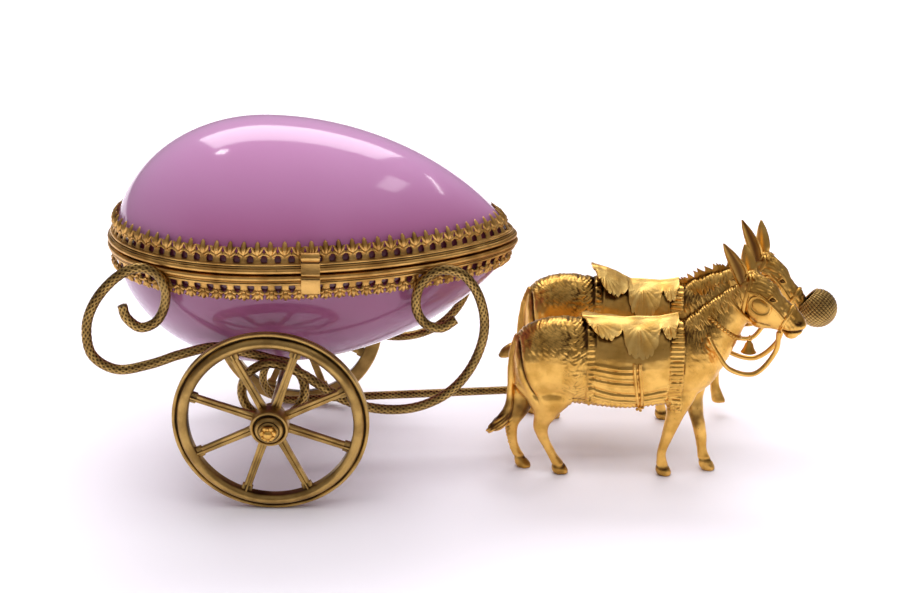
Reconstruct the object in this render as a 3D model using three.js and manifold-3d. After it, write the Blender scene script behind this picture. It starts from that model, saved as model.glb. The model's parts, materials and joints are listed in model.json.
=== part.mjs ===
// Opaline glass egg casket on a two-wheeled gilt cart drawn by two gilt donkeys.
// Millimetres, +Z up. +X runs forward, from the cart to the donkeys, and +Y points to the far side.
import * as THREE from 'three';
import { mergeVertices } from 'three/addons/utils/BufferGeometryUtils.js';
import Module from 'manifold-3d';

const wasm = await Module();
wasm.setup();

// Fits
const touchGap = 0.3; // between pieces that touch
const runningGap = 0.35; // between pieces that turn on each other

// Egg: two half shells of opaline glass, blunt end to the rear
const eggRadius = 46.3;
const eggBluntLength = 55.5;
const eggPointLength = 91.6;
const glassWall = 4;
const eggPlace = -2.7; // of its widest part, forward of the near wheel
const eggClearance = 5.942187; // between its underside and the axle's centre line
const eggTiltDeg = 1; // the pointed end hangs a little
const seamHeight = 1.6; // of the seam above the egg's long axis

// Rim rings that clasp the cut edges of the glass
const rimFlange = 1;
const rimMouldingHeight = 2.5;
const rimMouldingReach = 3;
const seamGap = 0.7;

// Pierced leaf galleries
const galleryThickness = 1;
const galleryStandOff = 0.5; // from the glass
const motifPitch = 4.7;
const lidGalleryHeight = 11.3;
const baseGalleryHeight = 10;
const leafTipHeight = 3;

// Hinge and clasp
const hingeLength = 18;
const hingeLeafHeight = 8;
const hingeLeafThickness = 1.2;
const knuckleRadius = 2.1;
const hingePinRadius = 0.8;
const claspWidth = 6.5;
const claspOffset = 18.3; // forward of the egg's widest place
const claspThickness = 1.2;
const claspDrop = 6.5;
const claspRise = 6.5;
const claspKnuckleRadius = 1.6;

// Wheels and axle
const wheelRadius = 35;
const wheelSpokes = 8;
const firstSpokeDeg = 25;
const camberDeg = 4.7;
const wheelStandOff = 3.3; // of a wheel's outer face beyond the egg's widest part, where the wheel stands
const wheelTrack = 2 * (eggRadius + wheelStandOff);
const axleSkewDeg = 3.1; // the axle's far end stands forward
const rimDepth = 5.6;
const wheelRimWidth = 4;
const hubRadius = 6.7;
const hubInside = 6;
const hubOutside = 7.5;
const spokeWidth = 3.2;
const spokeThickness = 2.2;
const axleRadius = 1.8;
const nutRadius = 2.7;
const nutHeight = 2.6;

// Braided rods
const frameRodRadius = 1.8;
const coilRadius = 11.2;
const scrollGap = 1.8; // between a side scroll and the rim that it bears against
const poleRadius = 1.6;
const poleLift = 20.7; // of the pole's centre above the ground, under the axle
const poleRise = 0.0286;
const poleEnd = 137;
const crossbarRadius = 1.3;
const crossbarPlace = 133;

// Donkeys
const nearDonkeyPlace = new THREE.Vector3(130, -23, 0);
const nearDonkeyTurn = -0.08;
const farDonkeyPlace = new THREE.Vector3(139, 29, 0);
const farDonkeyTurn = -0.06;
const leafSheet = 0.8;
const reinRadius = 0.6;
const bellRadius = 2.6;
const bellHeight = 6.4;
const basketRadius = 7.8;
const basketWall = 0.9;

// Colours
const opaline = { color: 0xb97fae, roughness: 0.12, metalness: 0 };
const brightGilt = { color: 0xd9a436, roughness: 0.35, metalness: 1 };
const antiqueGilt = { color: 0x8f7433, roughness: 0.42, metalness: 1 };
const rimGilt = { color: 0xa9883c, roughness: 0.4, metalness: 1 };

// Solids

function solidOf(geometry) {
  const bare = geometry.clone();
  bare.deleteAttribute('normal');
  bare.deleteAttribute('uv');
  const merged = mergeVertices(bare, 1e-4);
  const vertProperties = new Float32Array(merged.attributes.position.array);
  const triVerts = new Uint32Array(merged.index.array);
  const solid = new wasm.Manifold(new wasm.Mesh({ numProp: 3, vertProperties, triVerts }));
  if (solid.volume() > 0) return solid;
  for (let i = 0; i < triVerts.length; i += 3) {
    [triVerts[i], triVerts[i + 1]] = [triVerts[i + 1], triVerts[i]];
  }
  return new wasm.Manifold(new wasm.Mesh({ numProp: 3, vertProperties, triVerts }));
}

function geometryOf(solid) {
  const mesh = solid.getMesh();
  const geometry = new THREE.BufferGeometry();
  geometry.setAttribute('position', new THREE.BufferAttribute(new Float32Array(mesh.vertProperties), 3));
  geometry.setIndex(new THREE.BufferAttribute(new Uint32Array(mesh.triVerts), 1));
  const faceted = geometry.toNonIndexed();
  faceted.computeVertexNormals();
  return faceted;
}

function joined(...geometries) {
  return geometries.map(solidOf).reduce((whole, piece) => whole.add(piece));
}

function piece(name, solid, finish) {
  const mesh = new THREE.Mesh(geometryOf(solid), new THREE.MeshStandardMaterial(finish));
  mesh.name = name;
  return mesh;
}

// A closed skin over rings of points: all rings have the same count, and the last joins the first if closed
function loft(rings, closed = false) {
  const count = rings[0].length;
  const positions = rings.flat().flatMap((p) => [p.x, p.y, p.z]);
  const index = [];
  const spans = closed ? rings.length : rings.length - 1;
  for (let i = 0; i < spans; i += 1) {
    const next = (i + 1) % rings.length;
    for (let j = 0; j < count; j += 1) {
      const a = i * count + j;
      const b = i * count + ((j + 1) % count);
      const c = next * count + j;
      const d = next * count + ((j + 1) % count);
      index.push(a, b, d, a, d, c);
    }
  }
  if (!closed) {
    // Each end is closed by a strip across the ring
    const last = (rings.length - 1) * count;
    for (let j = 0; j < Math.floor(count / 2); j += 1) {
      const k = count - 1 - j;
      if (k - j > 1) index.push(j, k, j + 1, last + j, last + j + 1, last + k);
      if (k - j > 2) index.push(k, k - 1, j + 1, last + k, last + j + 1, last + k - 1);
    }
  }
  const geometry = new THREE.BufferGeometry();
  geometry.setAttribute('position', new THREE.Float32BufferAttribute(positions, 3));
  geometry.setIndex(index);
  return geometry;
}

function rod(points, radius, sides, steps) {
  const section = new THREE.Shape();
  for (let i = 0; i < sides; i += 1) {
    const angle = (2 * Math.PI * i) / sides;
    const corner = [radius * Math.cos(angle), radius * Math.sin(angle)];
    if (i === 0) section.moveTo(...corner);
    else section.lineTo(...corner);
  }
  const path = points instanceof THREE.Curve ? points : new THREE.CatmullRomCurve3(points);
  return new THREE.ExtrudeGeometry(section, { steps, extrudePath: path, bevelEnabled: false });
}

function box(x0, x1, y0, y1, z0, z1) {
  const geometry = new THREE.BoxGeometry(x1 - x0, y1 - y0, z1 - z0);
  return geometry.translate((x0 + x1) / 2, (y0 + y1) / 2, (z0 + z1) / 2);
}

// A cylinder along X
function barLength(x0, x1, radius, sides) {
  const geometry = new THREE.CylinderGeometry(radius, radius, x1 - x0, sides).rotateZ(Math.PI / 2);
  return geometry.translate((x0 + x1) / 2, 0, 0);
}

// Egg form, with its long axis along X and its widest place at x = 0

function eggHalfWidth(x, inset = 0) {
  const length = (x < 0 ? eggBluntLength : eggPointLength) - inset;
  const share = Math.min(Math.abs(x) / length, 1);
  const taper = x < 0 ? 1 : 1 - 0.244 * share ** 2 - 0.118 * share ** 6;
  return (eggRadius - inset) * Math.sqrt(1 - share * share) * taper;
}

function eggSolid(inset, around = 22, along = 16) {
  const profile = [];
  for (let i = 0; i <= along; i += 1) {
    const share = -Math.cos((Math.PI * i) / along);
    const x = share * ((share < 0 ? eggBluntLength : eggPointLength) - inset);
    profile.push(new THREE.Vector2(i % along === 0 ? 0 : eggHalfWidth(x, inset), x));
  }
  return solidOf(new THREE.LatheGeometry(profile, around).rotateZ(-Math.PI / 2));
}

// Points round the widest outline, each with its outward direction: evenly spaced, or closer at the two ends
function seamStations(count, even) {
  const outlineAt = (angle) => {
    const x = -Math.cos(angle) * (Math.cos(angle) > 0 ? eggBluntLength : eggPointLength);
    return new THREE.Vector3(x, -Math.sign(Math.sin(angle)) * eggHalfWidth(x), 0);
  };
  const outline = Array.from({ length: 240 }, (_, i) => outlineAt((2 * Math.PI * i) / 240));
  const curve = new THREE.CatmullRomCurve3(outline, true);
  curve.arcLengthDivisions = 960;
  const stations = Array.from({ length: count }, (_, i) => {
    const share = even ? curve.getUtoTmapping(i / count) : i / count;
    const along = curve.getTangent(share);
    return { at: curve.getPoint(share), out: new THREE.Vector3(along.y, -along.x, 0).normalize() };
  });
  return { stations, length: curve.getLength() };
}

// How far the glass surface draws in from the widest outline at a height above the egg's axis
function drawIn(station, above) {
  let [inside, outside] = [eggRadius * 0.9, 0];
  for (let i = 0; i < 30; i += 1) {
    const middle = (inside + outside) / 2;
    const p = station.at.clone().addScaledVector(station.out, -middle);
    if (Math.hypot(p.y, above) > eggHalfWidth(p.x)) outside = middle;
    else inside = middle;
  }
  return outside;
}

// The glass surface's point at a height above the seam, moved outward
function onGlass(station, height, outward) {
  return station.at.clone()
    .addScaledVector(station.out, outward - drawIn(station, height + seamHeight))
    .setZ(height);
}

function rimRing(side) {
  const low = seamGap / 2;
  const { stations } = seamStations(32, false);
  const section = [
    [low, -glassWall],
    [low, rimMouldingReach - 0.5],
    [low + 1, rimMouldingReach],
    [low + rimMouldingHeight, rimMouldingReach - 0.8],
    [low + rimMouldingHeight, 2 * touchGap],
    [low + rimFlange, 2 * touchGap],
    [low + rimFlange, -glassWall],
  ];
  return solidOf(loft(stations.map((s) => section.map(([h, out]) => onGlass(s, side * h, out))), true));
}

// A strip that stands on its ring and leans in with the glass. Where the glass bulges, it stands off by as much.
function leafGallery(side, height) {
  const low = seamGap / 2 + rimMouldingHeight + touchGap;
  const motifs = Math.round(seamStations(8, true).length / motifPitch);
  const { stations } = seamStations(2 * motifs, true);
  return solidOf(loft(stations.map((s, i) => {
    const crest = height - (i % 2 ? leafTipHeight : 0);
    const [a, b, c] = [low, (low + crest) / 2, crest].map((h) => drawIn(s, side * h + seamHeight));
    const inner = galleryStandOff + Math.max((a + c) / 2 - b, 0);
    return [[low, inner], [low, inner + galleryThickness], [crest, inner + galleryThickness * 0.5]]
      .map(([h, out]) => onGlass(s, side * h, out));
  }), true));
}

function glassHalf(side) {
  const far = 2 * eggPointLength;
  const edge = seamHeight + side * (seamGap / 2 + rimFlange + touchGap);
  const half = side > 0 ? box(-far, far, -far, far, edge, far) : box(-far, far, -far, far, -far, edge);
  return eggSolid(0).subtract(eggSolid(glassWall)).intersect(solidOf(half)).translate(0, 0, -seamHeight);
}

// Hinge at the egg's widest place on the far side, on the seam plane
const hingeLeafInside = eggRadius + rimMouldingReach + touchGap;
const hingeAxisOut = hingeLeafInside + knuckleRadius;

function hingeLeaf(side) {
  const half = hingeLength / 2;
  const knuckle = hingeLength / 3;
  const stretches = side > 0
    ? [[-knuckle / 2 + runningGap / 2, knuckle / 2 - runningGap / 2]]
    : [[-half, -knuckle / 2 - runningGap / 2], [knuckle / 2 + runningGap / 2, half]];
  const others = side > 0
    ? [[-half - 1, -knuckle / 2 + runningGap / 2], [knuckle / 2 - runningGap / 2, half + 1]]
    : [[-knuckle / 2 - runningGap / 2, knuckle / 2 + runningGap / 2]];
  const low = seamGap / 2;
  const [z0, z1] = side > 0 ? [low, hingeLeafHeight] : [-hingeLeafHeight, -low];
  let leaf = solidOf(box(-half, half, 0, hingeLeafThickness, z0, z1));
  for (const [x0, x1] of others) {
    leaf = leaf.subtract(solidOf(barLength(x0, x1, knuckleRadius + runningGap, 10)
      .translate(0, knuckleRadius, 0)));
  }
  for (const [x0, x1] of stretches) {
    leaf = leaf.add(solidOf(barLength(x0, x1, knuckleRadius, 10).translate(0, knuckleRadius, 0)));
  }
  const bore = barLength(-half - 1, half + 1, hingePinRadius + runningGap / 2, 8);
  return leaf.subtract(solidOf(bore.translate(0, knuckleRadius, 0))).translate(0, hingeLeafInside, 0);
}

// Clasp on the near side: a thumb knuckle and tab on the lid, a plain plate on the base
const claspOut = eggHalfWidth(claspOffset) + rimMouldingReach + touchGap + 0.6;

function claspLid() {
  const half = claspWidth / 2;
  const tab = box(-half, half, -claspThickness, 0, seamGap / 2, claspRise);
  const knuckle = barLength(-half, half, claspKnuckleRadius, 10)
    .translate(0, -claspKnuckleRadius * 0.8, claspRise + claspKnuckleRadius * 0.4);
  return joined(tab, knuckle).translate(claspOffset, -claspOut, 0);
}

function claspBase() {
  const half = claspWidth / 2;
  const plate = box(-half, half, -claspThickness, 0, -claspDrop, -seamGap / 2);
  const lip = box(-half, half, -claspThickness - 0.5, -claspThickness / 2, -2.2, -1.2);
  return joined(plate, lip).translate(claspOffset, -claspOut, 0);
}

// Wheels turn on the drooping ends of the axle. Each is made round Z with its outer face up.
const camber = THREE.MathUtils.degToRad(camberDeg);
const hubHeight = wheelRadius * Math.cos(camber);
const wheelMiddle = (wheelTrack - wheelRimWidth) / 2 + wheelRadius * Math.sin(camber);
const skew = THREE.MathUtils.degToRad(axleSkewDeg);
const axlePlace = wheelMiddle * Math.sin(skew); // so that the near wheel stands at x = 0
const axleAt = (y) => axlePlace + y * Math.tan(skew);

function wheel() {
  const inner = wheelRadius - rimDepth;
  const half = wheelRimWidth / 2;
  const rimProfile = [[inner, -half], [wheelRadius, -half], [wheelRadius, half - 1.4],
    [wheelRadius - 1.6, half - 1], [inner + 2, half + 0.4], [inner, half - 0.8]];
  const rim = lathe([...rimProfile, rimProfile[0]], 24);
  const bore = axleRadius + runningGap;
  const hubProfile = [[bore, -hubInside], [hubRadius * 0.72, -hubInside], [hubRadius * 0.8, -half],
    [hubRadius, half], [hubRadius * 0.82, half + 2], [nutRadius + 0.8, hubOutside], [bore, hubOutside]];
  const hub = lathe([...hubProfile, hubProfile[0]], 10);
  let whole = solidOf(rim).add(solidOf(hub));
  for (let i = 0; i < wheelSpokes; i += 1) {
    whole = whole.add(solidOf(spoke(inner)).rotate([0, 0, firstSpokeDeg + (360 * i) / wheelSpokes]));
  }
  return whole;
}

function lathe(points, sides) {
  return new THREE.LatheGeometry(points.map(([r, h]) => new THREE.Vector2(r, h)), sides).rotateX(Math.PI / 2);
}

// A spoke with a raised centre ridge, and a foot where it meets the rim
function spoke(reach) {
  const w = spokeWidth / 2;
  const t = spokeThickness / 2;
  const ring = (x, grow) => [[-w * grow, -t], [w * grow, -t], [w * grow, t * 0.4], [0, t], [-w * grow, t * 0.4]]
    .map(([y, z]) => new THREE.Vector3(x, y, z));
  return loft([ring(hubRadius - 1, 1.1), ring(reach - 1.3, 0.9), ring(reach + 1, 1.25)]);
}

function askew(solid) {
  return solid.rotate([0, 0, -axleSkewDeg]).translate(axlePlace, 0, 0);
}

function placeWheel(solid, side) {
  const upright = solid.rotate([-side * (90 + camberDeg), 0, 0]);
  return askew(upright.translate(0, side * wheelMiddle, hubHeight));
}

function hubNut(side) {
  const profile = [[0, 0], [nutRadius, 0], [nutRadius, nutHeight * 0.5],
    [nutRadius * 0.55, nutHeight], [0, nutHeight]];
  const nut = solidOf(lathe(profile, 8)).translate(0, 0, hubOutside + touchGap);
  return placeWheel(nut, side);
}

// The axle: straight between the wheels, drooping by the camber at its ends
const droopPlace = wheelMiddle - hubInside - 1;
const axleHeight = hubHeight + Math.tan(camber) * (wheelMiddle - droopPlace);
const eggCentre = new THREE.Vector3(eggPlace, 0, axleHeight + eggClearance + eggRadius);

function axle() {
  const endOut = wheelMiddle + hubOutside * Math.cos(camber);
  const endHeight = hubHeight - hubOutside * Math.sin(camber);
  const stops = [[-endOut, endHeight, camber], [-droopPlace, axleHeight, camber / 2],
    [droopPlace, axleHeight, -camber / 2], [endOut, endHeight, -camber]];
  const rings = stops.map(([y, z, lean]) => Array.from({ length: 10 }, (_, k) => {
    const angle = (2 * Math.PI * k) / 10;
    const up = axleRadius * Math.sin(angle);
    return new THREE.Vector3(axleRadius * Math.cos(angle), y - up * Math.sin(lean), z + up * Math.cos(lean));
  }));
  return askew(solidOf(loft(rings)));
}

// Side frames: one braided rod each, scrolled at both ends and wound once round the axle like a safety pin.
// Places are [forward, up], drawn for an axle and an egg at these heights.
const drawnAxleHeight = 35.457813;
const drawnEggHeight = 87.7;
const rearScroll = [[-50.7, 76.7], [-49.6, 72.2], [-45.1, 68.2], [-39.8, 69.8], [-36.4, 75.3], [-35.7, 82.4],
  [-38.4, 88], [-44, 90.2], [-50.6, 88], [-59.3, 79.3], [-63.4, 69.4], [-62.2, 58.5], [-54.4, 52.8],
  [-42.5, 54.1], [-31.9, 57.3], [-19, 59.6], [-9, 57]];
const frontScroll = [[11, 49.4], [17.7, 44.3], [25.6, 38.6], [35.2, 34.8], [46.1, 33.4], [55.2, 34.8],
  [64.4, 39.5], [71.7, 47.8], [76.3, 59.2], [76.6, 68.8], [73.2, 79], [67.4, 85.2], [59.6, 86],
  [53.6, 80.8], [52.2, 72.6], [55.4, 66.4], [61.2, 64.4], [66.5, 67.4]];
const coilSetIn = 8.6; // from the egg's widest part in to the turn that comes from the rear
const coilInside = eggRadius - coilSetIn;
const coilPitch = 2 * frameRodRadius + touchGap + 0.1;
const coilPoints = 12;
const rearTouch = -40; // where a scroll bears on the lower rim
const frontTouch = 60;

function frameReach(x) {
  const rim = eggHalfWidth(x - eggCentre.x) + rimMouldingReach;
  return rim + scrollGap + frameRodRadius;
}

const scrollHeight = (z) => axleHeight
  + ((z - drawnAxleHeight) * (eggCentre.z - axleHeight)) / (drawnEggHeight - drawnAxleHeight);

function sideFrame(side) {
  const rearSlope = (frameReach(rearTouch) - coilInside) / -rearTouch;
  const frontSlope = (coilInside + coilPitch - frameReach(frontTouch)) / frontTouch;
  const place = axleAt(side * (coilInside + coilPitch / 2));
  const centre = axleHeight - axleRadius - touchGap - frameRodRadius + coilRadius;
  const points = rearScroll.map(([x, z]) => new THREE.Vector3(x, coilInside - rearSlope * x, scrollHeight(z)));
  for (let i = 0; i <= coilPoints; i += 1) {
    const turn = Math.PI / 2 - (2 * Math.PI * i) / coilPoints;
    const out = coilInside + (coilPitch * i) / coilPoints;
    const height = centre + coilRadius * Math.sin(turn);
    points.push(new THREE.Vector3(place + coilRadius * Math.cos(turn), out, height));
  }
  for (const [x, z] of frontScroll) {
    points.push(new THREE.Vector3(x, coilInside + coilPitch - frontSlope * x, scrollHeight(z)));
  }
  points.forEach((p) => p.setY(side * p.y));
  return solidOf(rod(points, frameRodRadius, 5, 74));
}

// Draught pole: hooked over the axle, and carried by a crossbar that lies between the two donkeys
const polePlace = (nearDonkeyPlace.y + farDonkeyPlace.y) / 2;
const poleHeight = (x) => poleLift + poleRise * x;

function draughtPole() {
  const top = axleHeight + axleRadius + 2 * touchGap + poleRadius;
  const hook = (top - poleLift) / 2;
  const over = axleAt(polePlace);
  const points = [new THREE.Vector3(over + hook * 0.45, polePlace, top - hook * 0.1)];
  for (let i = 0; i <= 4; i += 1) {
    const turn = Math.PI / 2 + (Math.PI * i) / 4;
    const height = top - hook + hook * Math.sin(turn);
    points.push(new THREE.Vector3(over + hook * Math.cos(turn), polePlace, height));
  }
  for (const x of [12, 50, 90, poleEnd]) points.push(new THREE.Vector3(x, polePlace, poleHeight(x)));
  return solidOf(rod(points, poleRadius, 6, 32));
}

// Donkeys. A donkey faces +X with its feet on z = 0, and all of its places are shares of its own pose:
// trunk rings are [place, top, bottom, half width]
const trunkRings = [[-41, 50.5, 41, 3.4], [-39.2, 55.8, 33, 7.6], [-35, 59.6, 29.5, 10.4],
  [-26, 62.2, 29.5, 11.4], [-14, 61.8, 28.6, 11.8], [0, 60.2, 27.3, 12.4], [12, 60.6, 28.8, 11.8],
  [22, 62.6, 30.6, 10.8], [29, 60.4, 34, 9.2], [33.6, 55.2, 38.4, 6.6], [35.8, 50.6, 43, 3.2]];
// Neck and head rings are [top place, top height, bottom place, bottom height, half width]
const neckRings = [[16, 58.5, 35, 40, 8.6], [24.5, 62.2, 39.6, 49.4, 7.2], [30.5, 67.2, 43, 57.6, 5.9],
  [36, 71.8, 45, 62.8, 5], [41.4, 75.8, 46, 68, 4.3]];
const headRings = [[42, 78.8, 41, 69, 3.8], [47.4, 81, 44.2, 62.6, 5.2], [53.3, 78, 49, 60.4, 5.2],
  [57.9, 73, 53.6, 60.8, 4.2], [62.6, 69.6, 58.2, 60, 3.4], [65.6, 66, 61.6, 58.8, 3.5],
  [66.5, 63.6, 64.6, 60, 2.2]];
const poll = [41, 74];
const shoulder = [25, 44];
const hip = [-30, 45];
const headTurn = -0.35;
const earRings = [[43.2, 77, 3, 2, 1.7], [41.8, 83.6, 4.2, 2.7, 1.6], [39.4, 89.4, 5.6, 1.8, 1],
  [37.5, 93, 6.6, 0.35, 0.3]]; // [place, height, aside, half width, half depth]
const earSplay = 1.8; // how far the two tips stand fore and aft of each other's middle
const maneRings = [[20, 60.5, 0.9], [25, 64.2, 1.3], [28, 65, 1.1], [30.5, 69, 1.3], [33, 69.6, 1.1],
  [35.5, 73.2, 1.3], [38, 73.6, 1.1], [41, 77.6, 1.2]]; // [place, height, half width]
const maneRoot = 7;
const tailRings = [[-39, 55, 1.9], [-41.2, 49, 1.6], [-41.9, 41, 1.4], [-42.2, 33, 1.3], [-42.6, 26.5, 1.6],
  [-45, 20.6, 2.5], [-48.4, 17.4, 2], [-51, 15.6, 0.7]]; // [place, height, radius]
// Leg rings are [height, back, front, half width]
const hindLegNear = [[38, -41, -15, 5.6], [31, -36, -18.6, 5], [25, -33.2, -24, 3.7], [19, -33.2, -27.6, 2.6],
  [9, -28.2, -24.4, 1.9], [4.4, -26, -21.2, 2.2], [0, -26, -18.6, 3]];
const hindLegOff = [[38, -42.4, -26, 5.6], [30, -43.4, -31, 5], [23, -43.4, -34.6, 3.6], [16.5, -44, -38.8, 2.5],
  [8, -42, -38.2, 1.9], [4, -40.2, -35.8, 2.2], [0, -39.8, -32.6, 2.9]];
const foreLegNear = [[40, 13, 29, 5], [32, 16, 26.4, 4.2], [25, 16.4, 23, 3], [16, 15, 19.6, 2.4],
  [9, 13.8, 17.4, 1.9], [4.4, 13.7, 18.4, 2.2], [0, 13.6, 20.6, 2.9]];
const foreLegOff = [[40, 18, 35, 5], [31, 23, 31.4, 4], [24, 25.4, 31.6, 3], [15, 28.4, 33.2, 2.4],
  [8, 29.8, 33.8, 1.9], [4, 30.4, 35.6, 2.2], [0, 31.4, 38, 2.8]];
const foreLegLifted = [[40, 18, 35, 5], [32, 24, 33, 4], [26, 29, 36, 3], [20.5, 34.6, 40, 2.5],
  [13.4, 37, 40.8, 1.9], [10, 37.2, 42, 2.3], [5.4, 38, 43.8, 2.8]];
const hipOut = 5.4;
const hoofOut = 2.6;
const pairOfDonkeys = {
  near: {
    dip: 0, neckDrop: 0, neckStretch: 1, headPitch: 0, headShift: [0, 0], earTips: [[0, 0], [1.7, -3.4]],
    foreOff: foreLegOff, hindShift: 0, tailLift: 0, saddleRear: -0.6, saddleFlare: 2.2,
  },
  far: {
    dip: 0.085, neckDrop: 0.28, neckStretch: 1.1, headPitch: 0.15, headShift: [-2.8, 1.2],
    earTips: [[-2, 1.5], [0.3, -0.7]],
    foreOff: foreLegLifted, hindShift: -6, tailLift: 10, saddleRear: 3.2, saddleFlare: 0.9,
  },
};

// A ring of points round a centre, from an upright half vector and a half width across
function ring(centre, half, across, sides) {
  return Array.from({ length: sides }, (_, k) => {
    const angle = (2 * Math.PI * k) / sides;
    return centre.clone().addScaledVector(half, Math.cos(angle))
      .add(new THREE.Vector3(0, across * Math.sin(angle), 0));
  });
}

function ringBetween([topX, topZ, lowX, lowZ, across], sides) {
  const centre = new THREE.Vector3((topX + lowX) / 2, 0, (topZ + lowZ) / 2);
  return ring(centre, new THREE.Vector3((topX - lowX) / 2, 0, (topZ - lowZ) / 2), across, sides);
}

function turnedAbout([x, z], axis, angle) {
  const pivot = new THREE.Vector3(x, 0, z);
  return (p) => p.clone().sub(pivot).applyAxisAngle(axis, angle).add(pivot);
}

// How a donkey stands: the trunk dips forward about the hip, the neck drops and stretches about the shoulder,
// and the head turns but keeps its slope
function carriage(pose) {
  const across = new THREE.Vector3(0, 1, 0);
  const upright = new THREE.Vector3(0, 0, 1);
  const trunk = turnedAbout(hip, across, pose.dip);
  const stretch = (share) => (p) => p.clone().add(new THREE.Vector3(p.x - shoulder[0], 0, p.z - shoulder[1])
    .multiplyScalar((pose.neckStretch - 1) * share));
  const neck = (share) => (p) => trunk(turnedAbout(shoulder, across, pose.neckDrop * share)(
    stretch(share)(turnedAbout(poll, upright, headTurn * share ** 3)(p))));
  const pollAt = new THREE.Vector3(poll[0], 0, poll[1]);
  const nudge = new THREE.Vector3(pose.headShift[0], 0, pose.headShift[1]);
  const shift = neck(1)(pollAt).sub(pollAt).add(nudge);
  const pitched = turnedAbout(poll, across, pose.headPitch);
  const head = (p) => turnedAbout(poll, upright, headTurn)(pitched(p)).add(shift);
  return { trunk, neck, head };
}

function leg(rings, side, shift = 0) {
  const top = rings[0][0];
  return loft(rings.map(([height, back, front, half]) => {
    const share = 1 - height / top;
    const y = side * THREE.MathUtils.lerp(hipOut, hoofOut, share);
    const centre = new THREE.Vector3((back + front) / 2 + shift * share, y, height);
    return ring(centre, new THREE.Vector3((front - back) / 2, 0, 0), half, 6);
  }));
}

function donkey(pose) {
  const move = carriage(pose);
  const trunk = trunkRings.map(([x, top, low, half]) => ringBetween([x, top, x, low, half], 10).map(move.trunk));
  const parts = [loft(trunk)];
  const last = neckRings.length - 1;
  parts.push(loft(neckRings.map((r, i) => ringBetween(r, 8).map(move.neck(i / last)))));
  parts.push(loft(headRings.map((r) => ringBetween(r, 8).map(move.head))));
  const maneLast = maneRings.length - 1;
  parts.push(loft(maneRings.map(([x, z, half], i) => (
    ringBetween([x, z, x + 1.5, z - maneRoot, half], 4).map(move.neck(i / maneLast))))));
  for (const side of [-1, 1]) {
    parts.push(loft(earRings.map(([x, z, aside, half, depth]) => {
      const up = (z - earRings[0][1]) / (earRings.at(-1)[1] - earRings[0][1]);
      const [forward, higher] = pose.earTips[side < 0 ? 0 : 1];
      const middle = new THREE.Vector3(x + up * (side * earSplay + forward), side * aside, z + up * higher);
      return ring(middle, new THREE.Vector3(depth, 0, depth * 0.35), half, 5).map(move.head);
    })));
    const blinker = new THREE.CylinderGeometry(3, 3.2, 1, 6).translate(50.2, side * 5.1, 70.4);
    parts.push(movedBy(blinker, move.head));
  }
  parts.push(loft(tailRings.map(([x, z, radius], i) => {
    const lift = pose.tailLift * Math.max(i - 3, 0) / (tailRings.length - 4);
    return ring(new THREE.Vector3(x, 0, z + lift), new THREE.Vector3(radius, 0, radius * 0.3), radius * 0.9, 5);
  })));
  parts.push(leg(hindLegNear, -1, pose.hindShift), leg(hindLegOff, 1));
  parts.push(leg(foreLegNear, -1), leg(pose.foreOff, 1));
  return joined(...parts);
}

function movedBy(geometry, move) {
  const at = geometry.attributes.position;
  for (let i = 0; i < at.count; i += 1) {
    const p = move(new THREE.Vector3().fromBufferAttribute(at, i));
    at.setXYZ(i, p.x, p.y, p.z);
  }
  return geometry;
}

// The trunk's section at a place along it
function trunkAt(x) {
  const next = Math.max(trunkRings.findIndex((r) => r[0] > x), 1);
  const [a, b] = [trunkRings[next - 1], trunkRings[next]];
  const share = (x - a[0]) / (b[0] - a[0]);
  const [top, low, half] = [1, 2, 3].map((k) => THREE.MathUtils.lerp(a[k], b[k], share));
  return { middle: (top + low) / 2, rise: (top - low) / 2, half };
}

function flankAt(x, z) {
  const { middle, rise, half } = trunkAt(x);
  return half * Math.sqrt(Math.max(1 - ((z - middle) / rise) ** 2, 0));
}

// Leaf saddle: one stamped sheet bent over the back, with three lobes to each side
// [place, share of the rear's rise, reach to each side along the body]
const saddleRows = [[-16, 1, 4], [-12, 1, 10], [-6, 0.6, 11.5], [-1.2, 0.2, 7.5], [0.2, 0, 11], [3.5, 0, 16.5],
  [8, 0, 15.5], [12, 0, 10], [13.4, 0, 7], [14.8, 0, 9.5], [17, 0, 10.5], [19.4, 0.1, 5]];
const saddleLift = 1.5;
const saddleFlareReach = 12; // the reach at which a rear lobe stands off by the whole flare
const saddleSpans = 6;

function leafSaddle(pose) {
  const move = carriage(pose);
  const skin = (extra) => saddleRows.map(([x, rear, reach]) => {
    const { middle, rise, half } = trunkAt(x);
    return Array.from({ length: saddleSpans + 1 }, (_, k) => {
      const share = (2 * k) / saddleSpans - 1;
      const angle = (share * reach) / ((rise + half) / 2);
      const flare = (Math.abs(share) * reach * pose.saddleFlare) / saddleFlareReach;
      const off = saddleLift + rear * (pose.saddleRear + flare) + extra;
      const height = middle + (rise + off) * Math.cos(angle);
      return move.trunk(new THREE.Vector3(x, (half + off) * Math.sin(angle), height));
    });
  });
  const upper = skin(leafSheet);
  const lower = skin(0);
  return solidOf(loft(upper.map((row, i) => [...row, ...lower[i].toReversed()])));
}

// Girth: a twin wire from the flank lobe down to a knot under the belly's edge, on the outer side only
const girthPlace = 4;

function girth(pose, side) {
  const move = carriage(pose);
  const { middle, rise, half } = trunkAt(girthPlace);
  const off = touchGap + 0.45;
  const rows = [1.35, 1.7, 2.1, 2.45].map((angle) => {
    const at = (extra, dx) => new THREE.Vector3(girthPlace + dx, side * (half + off + extra) * Math.sin(angle),
      middle + (rise + off + extra) * Math.cos(angle));
    return [at(0, -1.3), at(0.7, -1.3), at(0.7, 1.3), at(0, 1.3)].map(move.trunk);
  });
  const end = rows.at(-1).reduce((sum, p) => sum.clone().add(p), new THREE.Vector3()).divideScalar(4);
  const knot = new THREE.SphereGeometry(1.6, 6, 4).translate(end.x, end.y + side * 0.9, end.z);
  return joined(loft(rows), knot);
}

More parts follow.
